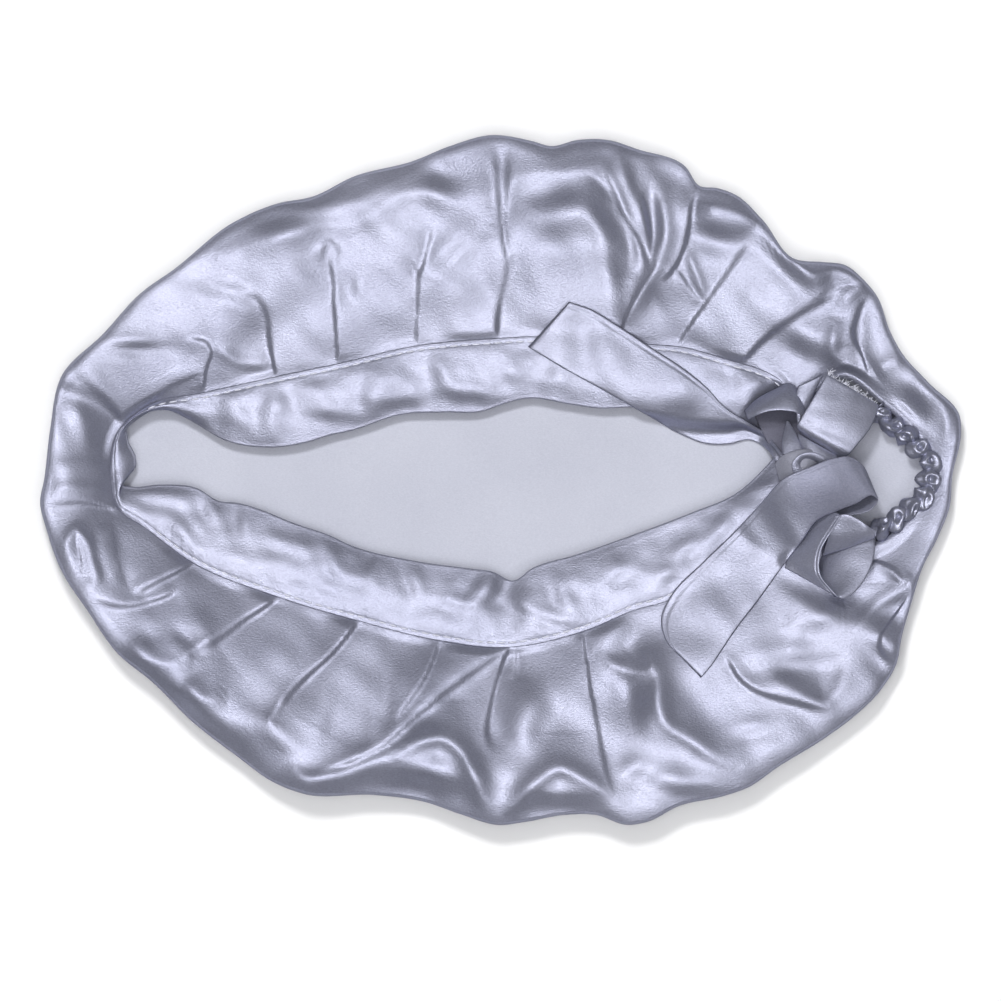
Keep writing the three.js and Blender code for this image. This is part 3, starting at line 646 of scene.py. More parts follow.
# After its dye or painted shade, each finish has its metallic, its roughness and how far that varies,
# its bump, its threads per metre and its sheen
crown_satin = cloth_material("crown_satin_face", *LAVENDER, 0.74, 0.42, 0.03, 0.75, 1900)
crown_reverse = cloth_material("crown_satin_reverse", *REVERSE, 0.0, 0.75, 0.05, 0.35, 2200, 0.1)
band_satin = cloth_material("band_satin_face", *LAVENDER, 0.74, 0.42, 0.03, 0.75, 1900)
casing_satin = cloth_material("casing_satin_face", *LAVENDER, 0.76, 0.34, 0.03, 0.6, 1900)
tie_satin = cloth_material("tie_satin_face", *LAVENDER, 0.7, 0.42, 0.03, 0.75, 1900)
lower_tie_satin = cloth_material("lower_tie_satin_face", *LAVENDER, 0.7, 0.42, 0.03, 0.75, 1900)
# Painted shade: the curl of the lower tie is darkened in a round patch
add_painted_shade_patch(lower_tie_satin, *CURL_PAINTED_SHADE)
# The knot's wrap: satin whose darker colour is painted shade
knot_wrap_shaded_satin = cloth_material("tie_satin_painted_shade", *KNOT_WRAP_SHADE, 0.35, 0.5, 0.05, 0.4, 2400)
# The band's turned-in end: near-black satin as painted shadow
band_painted_shadow = cloth_material("band_painted_shadow", *HOLE_SHADOW_TONES, 0.25, 0.6, 0.05, 0.4, 2400)
elastic_yarn = cloth_material("elastic_yarn", *YARN, 0.0, 0.85, 0.05, 0.8, 1400)
seam_thread = cloth_material("seam_thread", *THREAD, 0.0, 0.5, 0.05, 0.5, 3000)


# Crown. Lengths and places without a unit are in pixels, here and in the pieces below.

CROWN_COLUMNS = 900
# The underside and the lining have one column for this many of the puff's
COARSE = 3
PUFF_ROWS = 80
ROLL_ROWS = 8
UNDER_ROWS = 7
FLOOR_ROWS = 9
INNER_ROWS = 14
# The puff rises over this share of its width, and its crest is at most this steep
RISE_SHARE = 0.9
STEEPEST = 0.8
# Its rim rolls over within ROLL, and droops before that with this slope
ROLL = 2.8
ROLL_INSIDE = 1.5
RIM_SLOPE = 0.42
DROOP_SHARE = 0.5
CROWN_RIPPLES = (0.5 * MM, 85, 3), (0.16 * MM, 42, 9)
# Folds start over SEAM_HOLD. They are lower where the puff is narrower than NARROW, and those
# below LOWEST_FOLD are pressed flatter.
SEAM_HOLD = 11
NARROW = 60
NARROWEST_SHARE = 0.15
FLATTER = 8
# Rows at the seam and at the roll that aren't drawn to the pleats
HELD_ROWS = 3
EDGE_INSIDE = 5
# How far the side tucks in under the rim, as a share of the way to the middle
TUCK = 0.042
TUCK_SWING = 0.55
TUCK_LIMIT = 1.3
TUCK_RIPPLES = (1, 70, 22), (0.5, 26, 23)
# Where the cloth on the table starts, as a share of the rim, and how far its last ring stays from
# the middle, as a share of the step between rings
FLOOR_START = 0.965
FLOOR_CENTRE = 0.6
FLOOR_WAVE = 0.25 * MM
FLOOR_RIPPLE = (0.06, 8)
INNER_GAP = 0.9 * MM
# The lining goes by the lowest cloth within this many rows and columns
LINING_REACH = 9
LINING_PULL = 0.006
HEM_PULL = 0.015
HEM_HEIGHT = 1 * MM


def matched_columns():
    """For each column of the crown, its points on the outline and on the seam, and its spoke."""
    outline, seam = loop_line(CROWN_OUTLINE), loop_line(SEAM)
    rim_shares = [share_nearest(outline, rim) for rim, _ in SPOKES]
    seam_shares = [share_nearest(seam, start) for _, start in SPOKES]
    rim_shares[0] -= round(rim_shares[0])
    seam_shares[0] -= round(seam_shares[0])
    rims = np.array([*rim_shares, rim_shares[0] + 1])
    seams = np.array([*seam_shares, seam_shares[0] + 1])
    middle = (rims - rims[0] + seams - seams[0]) / 2
    wanted = np.arange(CROWN_COLUMNS) / CROWN_COLUMNS
    rim_at = np.interp(wanted, middle, rims) % 1
    seam_at = np.interp(wanted, middle, seams) % 1
    spoke = np.interp(wanted, middle, np.arange(len(rims)))
    return points_at(outline, rim_at), points_at(seam, seam_at), spoke


def crown_heights(x, y, out, width, fullness, droop):
    """Heights of the puff at pixels: folds run where the tables say, and all start at the seam."""
    from_seam, from_rim = out * width, (1 - out) * width
    crest = SEAM_HEIGHT + fullness * np.minimum(PUFF_HEIGHT - SEAM_HEIGHT, STEEPEST * width * PIXEL)
    rise = np.sin(np.clip(out / RISE_SHARE, 0, 1) * math.pi / 2)
    top = SEAM_HEIGHT + (crest - SEAM_HEIGHT) * rise
    droop = np.minimum(droop, DROOP_SHARE * width)
    top -= RIM_SLOPE / 2 * droop * PIXEL * (1 - np.clip(from_rim / droop, 0, 1)) ** 2
    folds = ripples_at(x, y, CROWN_RIPPLES)
    for ridge in RIDGES:
        add_ridge(folds, x, y, *ridge)
    for slope in SLOPES:
        add_slope(folds, x, y, *slope)
    for loose, pleats in ((False, PLEATS), (True, LOOSE_PLEATS)):
        for pleat in pleats:
            add_pleat(folds, x, y, loose, *pleat)
    folds *= ease(from_seam, 0, SEAM_HOLD) * np.clip(width / NARROW, NARROWEST_SHARE, 1)
    roll = np.sqrt(1 - (1 - np.clip(from_rim / ROLL, 0, 1)) ** 2)
    z = RIM_HEIGHT + (np.maximum(top + folds, RIM_HEIGHT) - RIM_HEIGHT) * roll
    return np.maximum(z, LOWEST_FOLD + (z - LOWEST_FOLD) / FLATTER)


def ring_faces(a, b):
    """Faces between two closed rings of point numbers, of which one may be COARSE times finer."""
    if len(a) == len(b):
        return np.stack([a, b, np.roll(b, -1), np.roll(a, -1)], -1).tolist()
    faces = []
    fine, coarse = (a, b) if len(a) > len(b) else (b, a)
    for k in range(len(coarse)):
        f = [fine[(COARSE * k + j) % len(fine)] for j in range(COARSE + 1)]
        c, d = coarse[k], coarse[(k + 1) % len(coarse)]
        faces += [[f[0], c, f[1]], [f[1], c, d, f[2]], [f[2], d, f[3]]]
    return faces if fine is a else [face[::-1] for face in faces]


def ring_piece(name, rings, first, last, materials, change):
    """A closed piece from rings of points between a first and a last point. The rings from
    number change on take the second material."""
    points, faces, slots, numbers = [first], [], [], []
    for ring in rings:
        numbers.append(len(points) + np.arange(len(ring)))
        points += list(ring)
    points.append(last)
    start, end = numbers[0], numbers[-1]
    faces += [[0, here, after] for here, after in zip(start, np.roll(start, -1))]
    slots += [0] * len(faces)
    for i in range(len(rings) - 1):
        between = ring_faces(numbers[i], numbers[i + 1])
        faces += between
        slots += [int(i >= change)] * len(between)
    faces += [[here, len(points) - 1, after] for here, after in zip(end, np.roll(end, -1))]
    slots += [int(change < len(rings))] * len(end)
    return make_piece(name, np.array(points), faces, materials, slots)


def crown_side(rim, rim_ring, middle):
    """Rings of the side, which tucks in unevenly from the rim down to the table."""
    waves = ripples_at(rim[:, 0], rim[:, 1], TUCK_RIPPLES)
    tuck = TUCK * (1 + TUCK_SWING * np.clip(waves, -TUCK_LIMIT, TUCK_LIMIT))[:, None]
    rings = []
    for step in range(1, UNDER_ROWS + 1):
        turn = step / UNDER_ROWS * math.pi / 2
        shrink = 1 - np.hstack([tuck, tuck]) * (1 - math.cos(turn))
        shrink = np.hstack([shrink, 0 * tuck + 1 - math.sin(turn)])
        rings.append(rim_ring * shrink + (1 - shrink) * middle)
    return rings


def crown_floor(rim_ring, middle):
    """Rings of the cloth that lies on the table, from the side inwards."""
    rings = []
    for step in range(1, FLOOR_ROWS + 1):
        shrink = (1 - step / (FLOOR_ROWS + FLOOR_CENTRE)) * FLOOR_START
        row = rim_ring * (shrink, shrink, 0) + (1 - shrink) * middle
        waves = ripple(row[:, 0], row[:, 1], *FLOOR_RIPPLE)
        row[:, 2] = FLOOR_WAVE * (1 + np.clip(waves, -1, 1))
        rings.append(row)
    return rings


def crown_lining(puff, z, middle):
    """Rings of the puff's inner side, a little below the lowest cloth round each point."""
    lowest = z.copy()
    for _ in range(LINING_REACH):
        lowest = np.minimum(lowest, np.minimum(np.roll(lowest, 1, 1), np.roll(lowest, -1, 1)))
        lowest[1:-1] = np.minimum(lowest[1:-1], np.minimum(lowest[2:], lowest[:-2]))
    rings = []
    for row in np.linspace(1, len(z) - 1, INNER_ROWS).astype(int):
        pulled = 1 - LINING_PULL * row / len(z)
        ring = puff[row, ::COARSE] * (pulled, pulled, 0) + (1 - pulled) * middle
        ring[:, 2] = lowest[row, ::COARSE] - INNER_GAP
        rings.append(ring)
    hem = rings[-1] * (1 - HEM_PULL, 1 - HEM_PULL, 0) + HEM_PULL * middle
    return rings + [hem + (0, 0, FLOOR_CLOTH + HEM_HEIGHT)]


def make_crown():
    """The crown, from the middle of its underside round the rim and the seam to its lining."""
    rim, seam, spoke = matched_columns()
    width = np.linalg.norm(rim - seam, axis=1)
    number = np.arange(len(SPOKES) + 1)
    fullness = np.interp(spoke, number, [*SPOKE_FULLNESS, SPOKE_FULLNESS[0]])
    droop = np.interp(spoke, number, [*SPOKE_DROOP, SPOKE_DROOP[0]])
    bend = 1 - (ROLL + ROLL_INSIDE) / width
    quarter = np.sin(np.linspace(0, math.pi / 2, ROLL_ROWS + 1)[1:, None])
    out = np.linspace(0, 1, PUFF_ROWS)[:, None] * bend
    out = np.concatenate([out, bend + (1 - bend) * quarter])
    x = seam[:, 0] + out * (rim - seam)[:, 0]
    y = seam[:, 1] + out * (rim - seam)[:, 1]
    shape = x.shape
    x, y = x.ravel(), y.ravel()
    from_middle = np.abs(np.arange(len(out)) - PUFF_ROWS / 2)
    free = np.repeat(from_middle < PUFF_ROWS / 2 - HELD_ROWS, CROWN_COLUMNS)
    drawn_x, drawn_y = x[free], y[free]
    for pleat in PLEATS + LOOSE_PLEATS:
        draw_to(drawn_x, drawn_y, pleat[-1])
    x[free], y[free] = drawn_x, drawn_y
    spread = [np.broadcast_to(a, shape).ravel() for a in (out, width, fullness, droop)]
    z = crown_heights(x, y, *spread).reshape(shape)
    z[0] = SEAM_HEIGHT
    puff = place(x.reshape(shape), y.reshape(shape), z)
    inward = (seam - rim) / width[:, None]
    edge = place(*(seam + EDGE_INSIDE * inward).T, np.full(CROWN_COLUMNS, SEAM_HEIGHT))
    middle = puff[-1].mean(0) * (1, 1, 0)
    under = crown_side(rim, puff[-1], middle)
    floor = crown_floor(puff[-1, ::COARSE], middle)
    rings = floor[::-1] + under[::-1] + list(puff[::-1]) + [edge, edge[::COARSE] - (0, 0, CLOTH)]
    rings += crown_lining(puff, z, middle) + [row + (0, 0, FLOOR_CLOTH) for row in floor]
    centre = floor[-1].mean(0)
    change = FLOOR_ROWS + UNDER_ROWS + len(puff) + 1
    materials = [crown_satin, crown_reverse]
    return ring_piece("crown_cloth", rings, centre, centre + (0, 0, FLOOR_CLOTH), materials, change)


crown = make_crown()
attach(crown, "bonnet")
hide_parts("crown")


# Front band

BAND_COLUMNS = 640
BAND_TOP_ROWS = 24
BAND_SEAM_ROWS = 12
BAND_UNDER_ROWS = 8
LIP_STEPS = 5
# Where the band's ends lie on the seam, and where its lip turns at the forehead
BAND_UPPER_END = (797, 400)
BAND_LOWER_END = (790, 508)
LIP_TURN = (134, 460)
BAND_BOW = 1.6 * MM
LAYER_GAP = 0.5 * MM
BAND_EDGE = -1.5
LIP_ROUND = 0.9 * MM
# The share of the band's width that has the closer rows, and the share over which its waves start
SEAM_SHARE = 0.14
WAVES_START = 0.25
STITCH_PITCH = 11
STITCH_LENGTH = 7.5
STITCH_INSIDE = 3.5
STITCH_POINTS = 7
STITCHES_FROM = 148
STITCH_GROOVE = 0.13 * MM
STITCH_GROOVE_WIDE = 1.2
PUCKER = 0.04 * MM
PUCKER_WIDE = 7
THREAD_HALF = 0.3 * MM
BAND_END_DIP = 6 * MM
BAND_END_SPAN = (0.008, 0.03)
BAND_RIPPLES = (0.3 * MM, 70, 12), (0.1 * MM, 26, 5)
# Waves of the band, as the crown's slopes
BAND_SLOPES = [
    (13, (225, 415), 16, 11, 215), (13, (264, 414), 22, 10, 170), (12, (305, 402), 18, 12, 215),
    (11, (338, 417), 20, 8, 262), (12, (368, 396), 18, 12, 160), (12, (412, 402), 24, 8, 278),
    (13, (436, 378), 16, 11, 205), (13, (470, 398), 26, 8, 262), (11, (505, 373), 18, 12, 225),
    (11, (545, 387), 18, 12, 165), (13, (600, 362), 18, 10, 200), (14, (735, 378), 16, 8, 200),
    (16, (765, 395), 14, 8, 230), (20, (158, 500), 26, 7, 260), (17, (208, 512), 14, 7, 200),
    (14, (190, 532), 14, 6, 40), (14, (240, 520), 16, 7, 180), (12, (285, 547), 20, 7, 250),
    (13, (330, 566), 14, 7, 200), (12, (372, 560), 14, 7, 160), (13, (410, 582), 16, 7, 200),
    (15, (452, 604), 22, 6, 260), (24, (492, 592), 16, 9, 330), (16, (518, 607), 20, 11, 190),
    (17, (556, 622), 40, 6, 250), (13, (560, 600), 16, 8, 200), (15, (618, 576), 16, 7, 300),
    (20, (671, 577), 9, 7, 300), (20, (689, 551), 9, 7, 300), (15, (722, 534), 18, 7, 320),
    (22, (680, 516), 60, 4, 112), (12, (460, 588), 14, 6, 330), (10, (350, 580), 30, 6, 250),
]


def band_lines():
    """Seam and lip points of the band at each column, from the upper end round the forehead."""
    seam = loop_line(SEAM)
    upper_end, lower_end = share_nearest(seam, BAND_UPPER_END), share_nearest(seam, BAND_LOWER_END)
    lip = np.vstack([smooth_line(LIP_UPPER[::-1]), smooth_line(LIP_LOWER)])
    turn = share_nearest(lip, LIP_TURN)
    shares = np.linspace(0, 1, BAND_COLUMNS)
    along_seam = np.where(
        shares < turn,
        upper_end - upper_end * shares / turn,
        1 + (lower_end - 1) * (shares - turn) / (1 - turn),
    )
    return points_at(seam, along_seam % 1), points_at(lip, shares)


def make_band():
    """The band: an upper and a lower layer joined round the lip, open at the seam and the ends."""
    seam, lip = band_lines()
    inward = (lip - seam) / np.linalg.norm(lip - seam, axis=1)[:, None]
    start = seam + BAND_EDGE * inward
    reach = np.linalg.norm(lip - start, axis=1)
    steps = np.linalg.norm(np.diff(seam, axis=0), axis=1)
    along_stitches = np.concatenate([[0], np.cumsum(steps)]) / STITCH_PITCH
    end_dip = BAND_END_DIP * (1 - ease(np.linspace(0, 1, BAND_COLUMNS), *BAND_END_SPAN))

    def layer(shares, side):
        x = start[:, 0] + shares[:, None] * (lip - start)[:, 0]
        y = start[:, 1] + shares[:, None] * (lip - start)[:, 1]
        s = np.broadcast_to(shares[:, None], x.shape)
        z = SEAM_HEIGHT + (LIP_HEIGHT - SEAM_HEIGHT) * s + BAND_BOW * np.sin(math.pi * s)
        waves = waves_over(x, y, BAND_SLOPES, BAND_RIPPLES) - end_dip
        z = z + waves * ease(s, 0, WAVES_START)
        if side > 0:
            from_stitches = s * reach + BAND_EDGE - STITCH_INSIDE
            z = z - STITCH_GROOVE * np.exp(-((from_stitches / STITCH_GROOVE_WIDE) ** 2))
            pull = np.cos(2 * math.pi * along_stitches)
            z = z + PUCKER * (pull * np.exp(-((from_stitches / PUCKER_WIDE) ** 2)))
        half = (LAYER_GAP + CLOTH) / 2 + CLOTH * (1 - s)
        return place(x, y, z + side * half)

    by_seam = np.linspace(0, SEAM_SHARE, BAND_SEAM_ROWS)
    top = layer(np.concatenate([by_seam, np.linspace(SEAM_SHARE, 1, BAND_TOP_ROWS)[1:]]), 1)
    low = layer(np.linspace(1, 0, BAND_UNDER_ROWS), -1)
    middle = (top[-1] + low[0]) / 2
    half = np.linalg.norm(top[-1] - low[0], axis=1)[:, None] / 2
    out = np.stack([inward[:, 0], -inward[:, 1], 0 * inward[:, 0]], -1)
    bend = []
    for step in range(1, LIP_STEPS + 1):
        turn = math.pi * step / (LIP_STEPS + 1)
        rise = math.cos(turn) * half * (0, 0, 1)
        bend.append(middle + rise + math.sin(turn) * LIP_ROUND * out)
    face = np.concatenate([top, np.array(bend), low])
    normals = grid_normals(face)
    if normals[0, :, 2].mean() < 0:
        normals = -normals
    back = face - normals * CLOTH
    rows, columns = face.shape[:2]
    last = rows * columns
    index = np.arange(last).reshape(rows, columns)
    border = np.concatenate([index[0], index[1:, -1], index[-1, -2::-1], index[-2:0:-1, 0]])
    after = np.roll(border, -1)
    faces = [
        grid_faces(rows, columns, False), grid_faces(rows, columns, False, last)[:, ::-1],
        np.stack([border, after, last + after, last + border], -1),
    ]
    points = np.concatenate([face.reshape(-1, 3), back.reshape(-1, 3)])
    return make_piece("band_cloth", points, np.concatenate(faces), [band_satin])


band = make_band()
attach(band, "bonnet")
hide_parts("front_band")


# Ribbons

UPPER_TAIL_ROWS = 110
LOWER_TIE_ROWS = 190
SHAPED_ROWS = 60
TIE_ACROSS = 36
# How much closer a ribbon's columns are at its edges, and how square its edges are
EDGE_CROWDING = 0.4
EDGE_SQUARE = 8
END_TAPER = 0.8
EDGE_GROOVE = 0.28 * MM
GROOVE_AT = 0.075
FRONT_GROOVE_AT = 0.89
GROOVE_WIDE = 0.018
SHAPED_RIPPLES = ((0.1 * MM, 24, 6),)
# Heights to look down from, and to place a ribbon's pixels at before its height is known
LOOK_FROM = 0.2
PLACED_AT = 20 * MM
BED_ROUNDS = 15


def surface_tree(*pieces):
    """A tree of what the pieces' faces cover, to find the height under a point."""
    points, faces = [], []
    for piece in pieces:
        first = len(points)
        points += [v.co.copy() for v in piece.data.vertices]
        faces += [[first + i for i in f.vertices] for f in piece.data.polygons]
    return BVHTree.FromPolygons(points, faces)


def height_under(tree, grid):
    """Height of the highest face under each point of a grid, or 0."""
    found = np.zeros(grid.shape[:2])
    for r, c in np.ndindex(found.shape):
        above = Vector((grid[r, c, 0], grid[r, c, 1], LOOK_FROM))
        hit = tree.ray_cast(above, Vector((0, 0, -1)))[0]
        found[r, c] = hit.z if hit else 0
    return found


def widest(grid):
    """The highest of each point and its eight neighbours."""
    padded = np.pad(grid, 1, mode="edge")
    rows, columns = grid.shape
    shifts = [padded[r : r + rows, c : c + columns] for r in range(3) for c in range(3)]
    return np.max(shifts, axis=0)


def bed_under(tree, x, y):
    """Heights of what lies under a grid of pixels: as it is, widened, and then evened out."""
    ground = height_under(tree, place(x, y, np.full(x.shape, PLACED_AT)))
    high = widest(widest(widest(ground)))
    return ground, high, soften(high, BED_ROUNDS)


def ribbon_lines(left, right, rows):
    """Pixels and heights in mm of a ribbon between its two given edges, with how far across
    and how far along it they are."""
    left, right = smooth_line(left), smooth_line(right)
    share = lengths_along((left + right) / 2)
    along = np.linspace(0, 1, rows)
    left, right = (
        np.stack([np.interp(along, share, edge[:, k]) for k in range(edge.shape[1])], -1)
        for edge in (left, right)
    )
    side = (1 - np.cos(np.linspace(0, math.pi, TIE_ACROSS))) / 2
    side = EDGE_CROWDING * side + (1 - EDGE_CROWDING) * np.linspace(0, 1, TIE_ACROSS)
    return left[:, None] + side[None, :, None] * (right - left)[:, None], side, along


def ribbon_mesh(name, grid, side, material, grooves=()):
    """A pressed tube of cloth round a grid of middle points, closed at its edges and ends."""
    rows, columns = grid.shape[:2]
    normals = grid_normals(grid)
    if normals[:, columns // 2, 2].mean() < 0:
        normals = -normals
    fill = np.sqrt(np.maximum(0, 1 - np.abs(2 * side - 1) ** EDGE_SQUARE))
    half = np.broadcast_to(RIBBON / 2 * fill, (rows, columns)).copy()
    half[[0, -1]] = 0
    half[[1, -2]] *= END_TAPER
    top = half.copy()
    for at in grooves:
        top -= EDGE_GROOVE * np.exp(-(((side - at) / GROOVE_WIDE) ** 2)) * (half > 0)
    upper = grid + normals * top[:, :, None]
    lower = grid - normals * half[:, :, None]
    above = np.arange(rows * columns).reshape(rows, columns)
    below = above.copy()
    inner = (rows - 2) * (columns - 2)
    below[1:-1, 1:-1] = rows * columns + np.arange(inner).reshape(rows - 2, columns - 2)
    points = np.concatenate([upper.reshape(-1, 3), lower[1:-1, 1:-1].reshape(-1, 3)])
    on_top, under = (
        np.stack([ids[:-1, :-1], ids[1:, :-1], ids[1:, 1:], ids[:-1, 1:]], -1).reshape(-1, 4)
        for ids in (above, below)
    )
    return make_piece(name, points, np.concatenate([on_top, under[:, ::-1]]), [material])


def shaped_ribbon(name, left, right, bow, material, grooves=()):
    """A ribbon whose edges carry their own heights in mm. bow lifts its middle, in mm."""
    pixels, side, _ = ribbon_lines(left, right, SHAPED_ROWS)
    x, y, z = pixels[..., 0], pixels[..., 1], pixels[..., 2] * MM
    z = z + waves_over(x, y, (), SHAPED_RIPPLES) + bow * MM * np.sin(math.pi * side)[None]
    return ribbon_mesh(name, place(x, y, z), side, material, grooves)


# The ties' edges in the photograph, from the knot outwards. A third number is a height in mm.
UPPER_TAIL_LEFT = [
    (785, 457), (765, 433), (746, 421), (727, 409), (705, 386), (680, 366), (655, 350), (620, 327),
    (590, 309), (569, 302),
]
UPPER_TAIL_RIGHT = [
    (779, 465), (763, 446), (750, 440), (730, 444), (708, 444), (680, 434), (652, 418), (610, 394),
    (568, 371), (528, 347),
]
# The lower tie's ribbon comes out under the knot, folds over at the right and lies as the tail
LOWER_TIE_UPPER = [
    (806, 487, 14), (832, 475, 14.5), (855, 468, 15.5), (864, 468, 19), (851, 457, 25),
    (834, 458, 26.6), (812, 466, 26.8), (783, 479, 24.6), (762, 502, 18), (738, 528, 12),
    (701, 564, 0), (672, 594, 0), (661, 619, 0), (665, 638, 0), (676, 652, 0),
]
LOWER_TIE_LOWER = [
    (822, 519, 17), (848, 516, 18), (873, 508, 18), (878, 500, 19.5), (873, 496, 21),
    (856, 504, 21.2), (838, 511, 21.2), (818, 520, 21), (802, 541, 18), (786, 562, 14),
    (757, 602, 0), (737, 628, 0), (722, 650, 0), (712, 665, 0), (701, 678, 0),
]
LIES_FROM = 0.33
# How far its middle bows up in mm, at shares of its length
LOWER_TIE_BOW = ((0, 0.15, 0.2, 0.28, 0.42, 0.55), (-6, -6, 0, 1.2, 1.2, 0))
LOWER_TIE_WAVES = [
    (20, (788, 534), 34, 7, 215), (14, (768, 545), 34, 7, 35), (10, (700, 620), 16, 18, 250),
    (9, (735, 590), 26, 10, 215), (8, (840, 480), 12, 12, 20),
]
# Its waves start over these shares of its length, and dip no further than this
LOWER_WAVES_START = (0.25, 0.35)
LOWER_WAVES_DIP = -1.2 * MM
LOWER_TAIL_ROUNDS = 9
UPPER_ROOT_LEFT = [
    (827, 374, 18), (819, 388, 19), (810, 403, 19.5), (801, 418, 19.2), (797, 427, 18),
    (799, 431, 15.5), (804, 436, 12.5),
]
UPPER_ROOT_RIGHT = [
    (879, 405, 13.5), (876, 416, 15), (869, 430, 17), (858, 444, 18), (848, 455, 17.8),
    (842, 459, 15.5), (834, 461, 12.5),
]
UPPER_TAIL_WAVES = [
    (13, (690, 402), 22, 16, 300), (8, (600, 350), 24, 14, 200), (8, (560, 335), 12, 10, 60),
]
UPPER_TAIL_RIPPLES = ((0.12 * MM, 34, 17),)
# The upper tail comes off the knot at this height, over this share of its length. Its evened
# bed may dip into what it lies on by PRESSED, and its waves lift it by LIFTED of their depth.
UPPER_TAIL_START = 12.5 * MM
UPPER_TAIL_SPAN = 0.12
PRESSED = 0.3 * MM
LIFTED = 0.6
HELD_UP_FROM = 0.2
UPPER_TAIL_ROUNDS = 4


def make_upper_tail():
    """The upper tie's tail, which comes down from the knot and lies on the band and the crown."""
    pixels, side, run = ribbon_lines(UPPER_TAIL_LEFT, UPPER_TAIL_RIGHT, UPPER_TAIL_ROWS)
    x, y = pixels[..., 0], pixels[..., 1]
    ground, high, bed = bed_under(surface_tree(crown, band), x, y)
    z = np.maximum(bed + RIBBON_GAP + RIBBON / 2, high + RIBBON_GAP + RIBBON / 2 - PRESSED)
    lift = waves_over(x, y, UPPER_TAIL_WAVES, UPPER_TAIL_RIPPLES)
    z = z + lift - lift.min() * LIFTED
    ramp = ease(run, 0, UPPER_TAIL_SPAN)[:, None]
    least = ground + (RIBBON_GAP + RIBBON / 2) * (ramp > HELD_UP_FROM)
    z = np.maximum(UPPER_TAIL_START * (1 - ramp) + z * ramp, least)
    grid = place(x, y, soften(z, UPPER_TAIL_ROUNDS))
    return ribbon_mesh("upper_tail_ribbon", grid, side, tie_satin, (GROOVE_AT,))


upper_tail = make_upper_tail()
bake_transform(upper_tail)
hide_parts("upper_tie_tail")

upper_root = shaped_ribbon("upper_root_panel", UPPER_ROOT_LEFT, UPPER_ROOT_RIGHT, 0.8, tie_satin)
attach(upper_root, "bonnet")
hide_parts("upper_tie_root")

# Loop of the lower tie: a flap from its seam, the cup that it turns in, and the flat front
FLAP_LEFT = [(834, 516, 21.5), (846, 514, 22.4), (858, 519, 22.4), (868, 526, 21.6), (875, 531, 19)]
FLAP_RIGHT = [(822, 556, 15), (836, 552, 15.5), (851, 547, 16.5), (863, 542, 17.5), (875, 538, 17.5)]
CUP_LEFT = [
    (838, 520, 12), (830, 534, 11), (823, 548, 11), (819, 560, 11.5), (820, 573, 13),
    (826, 586, 16), (834, 596, 19),
]
CUP_RIGHT = [
    (862, 525, 12), (872, 533, 14), (875, 546, 16), (873, 560, 17.5), (866, 577, 18.5),
    (855, 592, 19.5), (844, 600, 20),
]
FRONT_LEFT = [(826, 506, 15), (812, 520, 14.5), (800, 538, 14.5), (788, 556, 15), (785, 568, 16)]
FRONT_RIGHT = [(842, 515, 22.2), (832, 531, 23), (821, 551, 23.4), (820, 573, 23.4), (839, 598, 22.2)]
cup = shaped_ribbon("lower_loop_cup", CUP_LEFT, CUP_RIGHT, 1.6, tie_satin)
flap = shaped_ribbon("lower_loop_flap", FLAP_LEFT, FLAP_RIGHT, 0.8, tie_satin)
front = shaped_ribbon(
    "lower_loop_front", FRONT_LEFT, FRONT_RIGHT, 0.8, tie_satin, (FRONT_GROOVE_AT,)
)
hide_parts("lower_tie_root")
for piece in (cup, flap, front):
    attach(piece, "bonnet")


def make_lower_tail():
    """The curl over the knot and the lower tail are one ribbon; from LIES_FROM of its length on it lies
    on what is under it.
    """
    pixels, side, run = ribbon_lines(LOWER_TIE_UPPER, LOWER_TIE_LOWER, LOWER_TIE_ROWS)
    x, y, kept = pixels[..., 0], pixels[..., 1], pixels[..., 2] * MM
    _, high, bed = bed_under(surface_tree(crown, band, front), x, y)
    bed = np.maximum(bed, high) + RIBBON_GAP + RIBBON / 2
    bow = np.interp(run, *LOWER_TIE_BOW) * MM
    kept = kept + bow[:, None] * np.sin(math.pi * side)[None]
    z = np.where((run > LIES_FROM)[:, None], np.maximum(kept, bed), kept)
    lift = np.maximum(waves_over(x, y, LOWER_TIE_WAVES), LOWER_WAVES_DIP)
    z = z + lift * ease(run, *LOWER_WAVES_START)[:, None]
    first = int(LIES_FROM * LOWER_TIE_ROWS)
    z[first:] = soften(z[first:], LOWER_TAIL_ROUNDS)
    return ribbon_mesh("lower_tail_ribbon", place(x, y, z), side, lower_tie_satin, (GROOVE_AT,))


lower_tail = make_lower_tail()
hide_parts("lower_tie_curl", "lower_tie_tail")
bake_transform(lower_tail)


# Knot: a lump, with a wrap and a swirl over it, a spike of cloth and a strip from the upper tie

knot_low, knot_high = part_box("tie_knot")
KNOT_RINGS = 72
KNOT_SIDES = 64
# Its folds go this many times round it, as deep as this share of it, with this sharpness
KNOT_FOLDS = 3
KNOT_FOLD_SHARE = 0.13
KNOT_FOLD_SHARP = 0.45


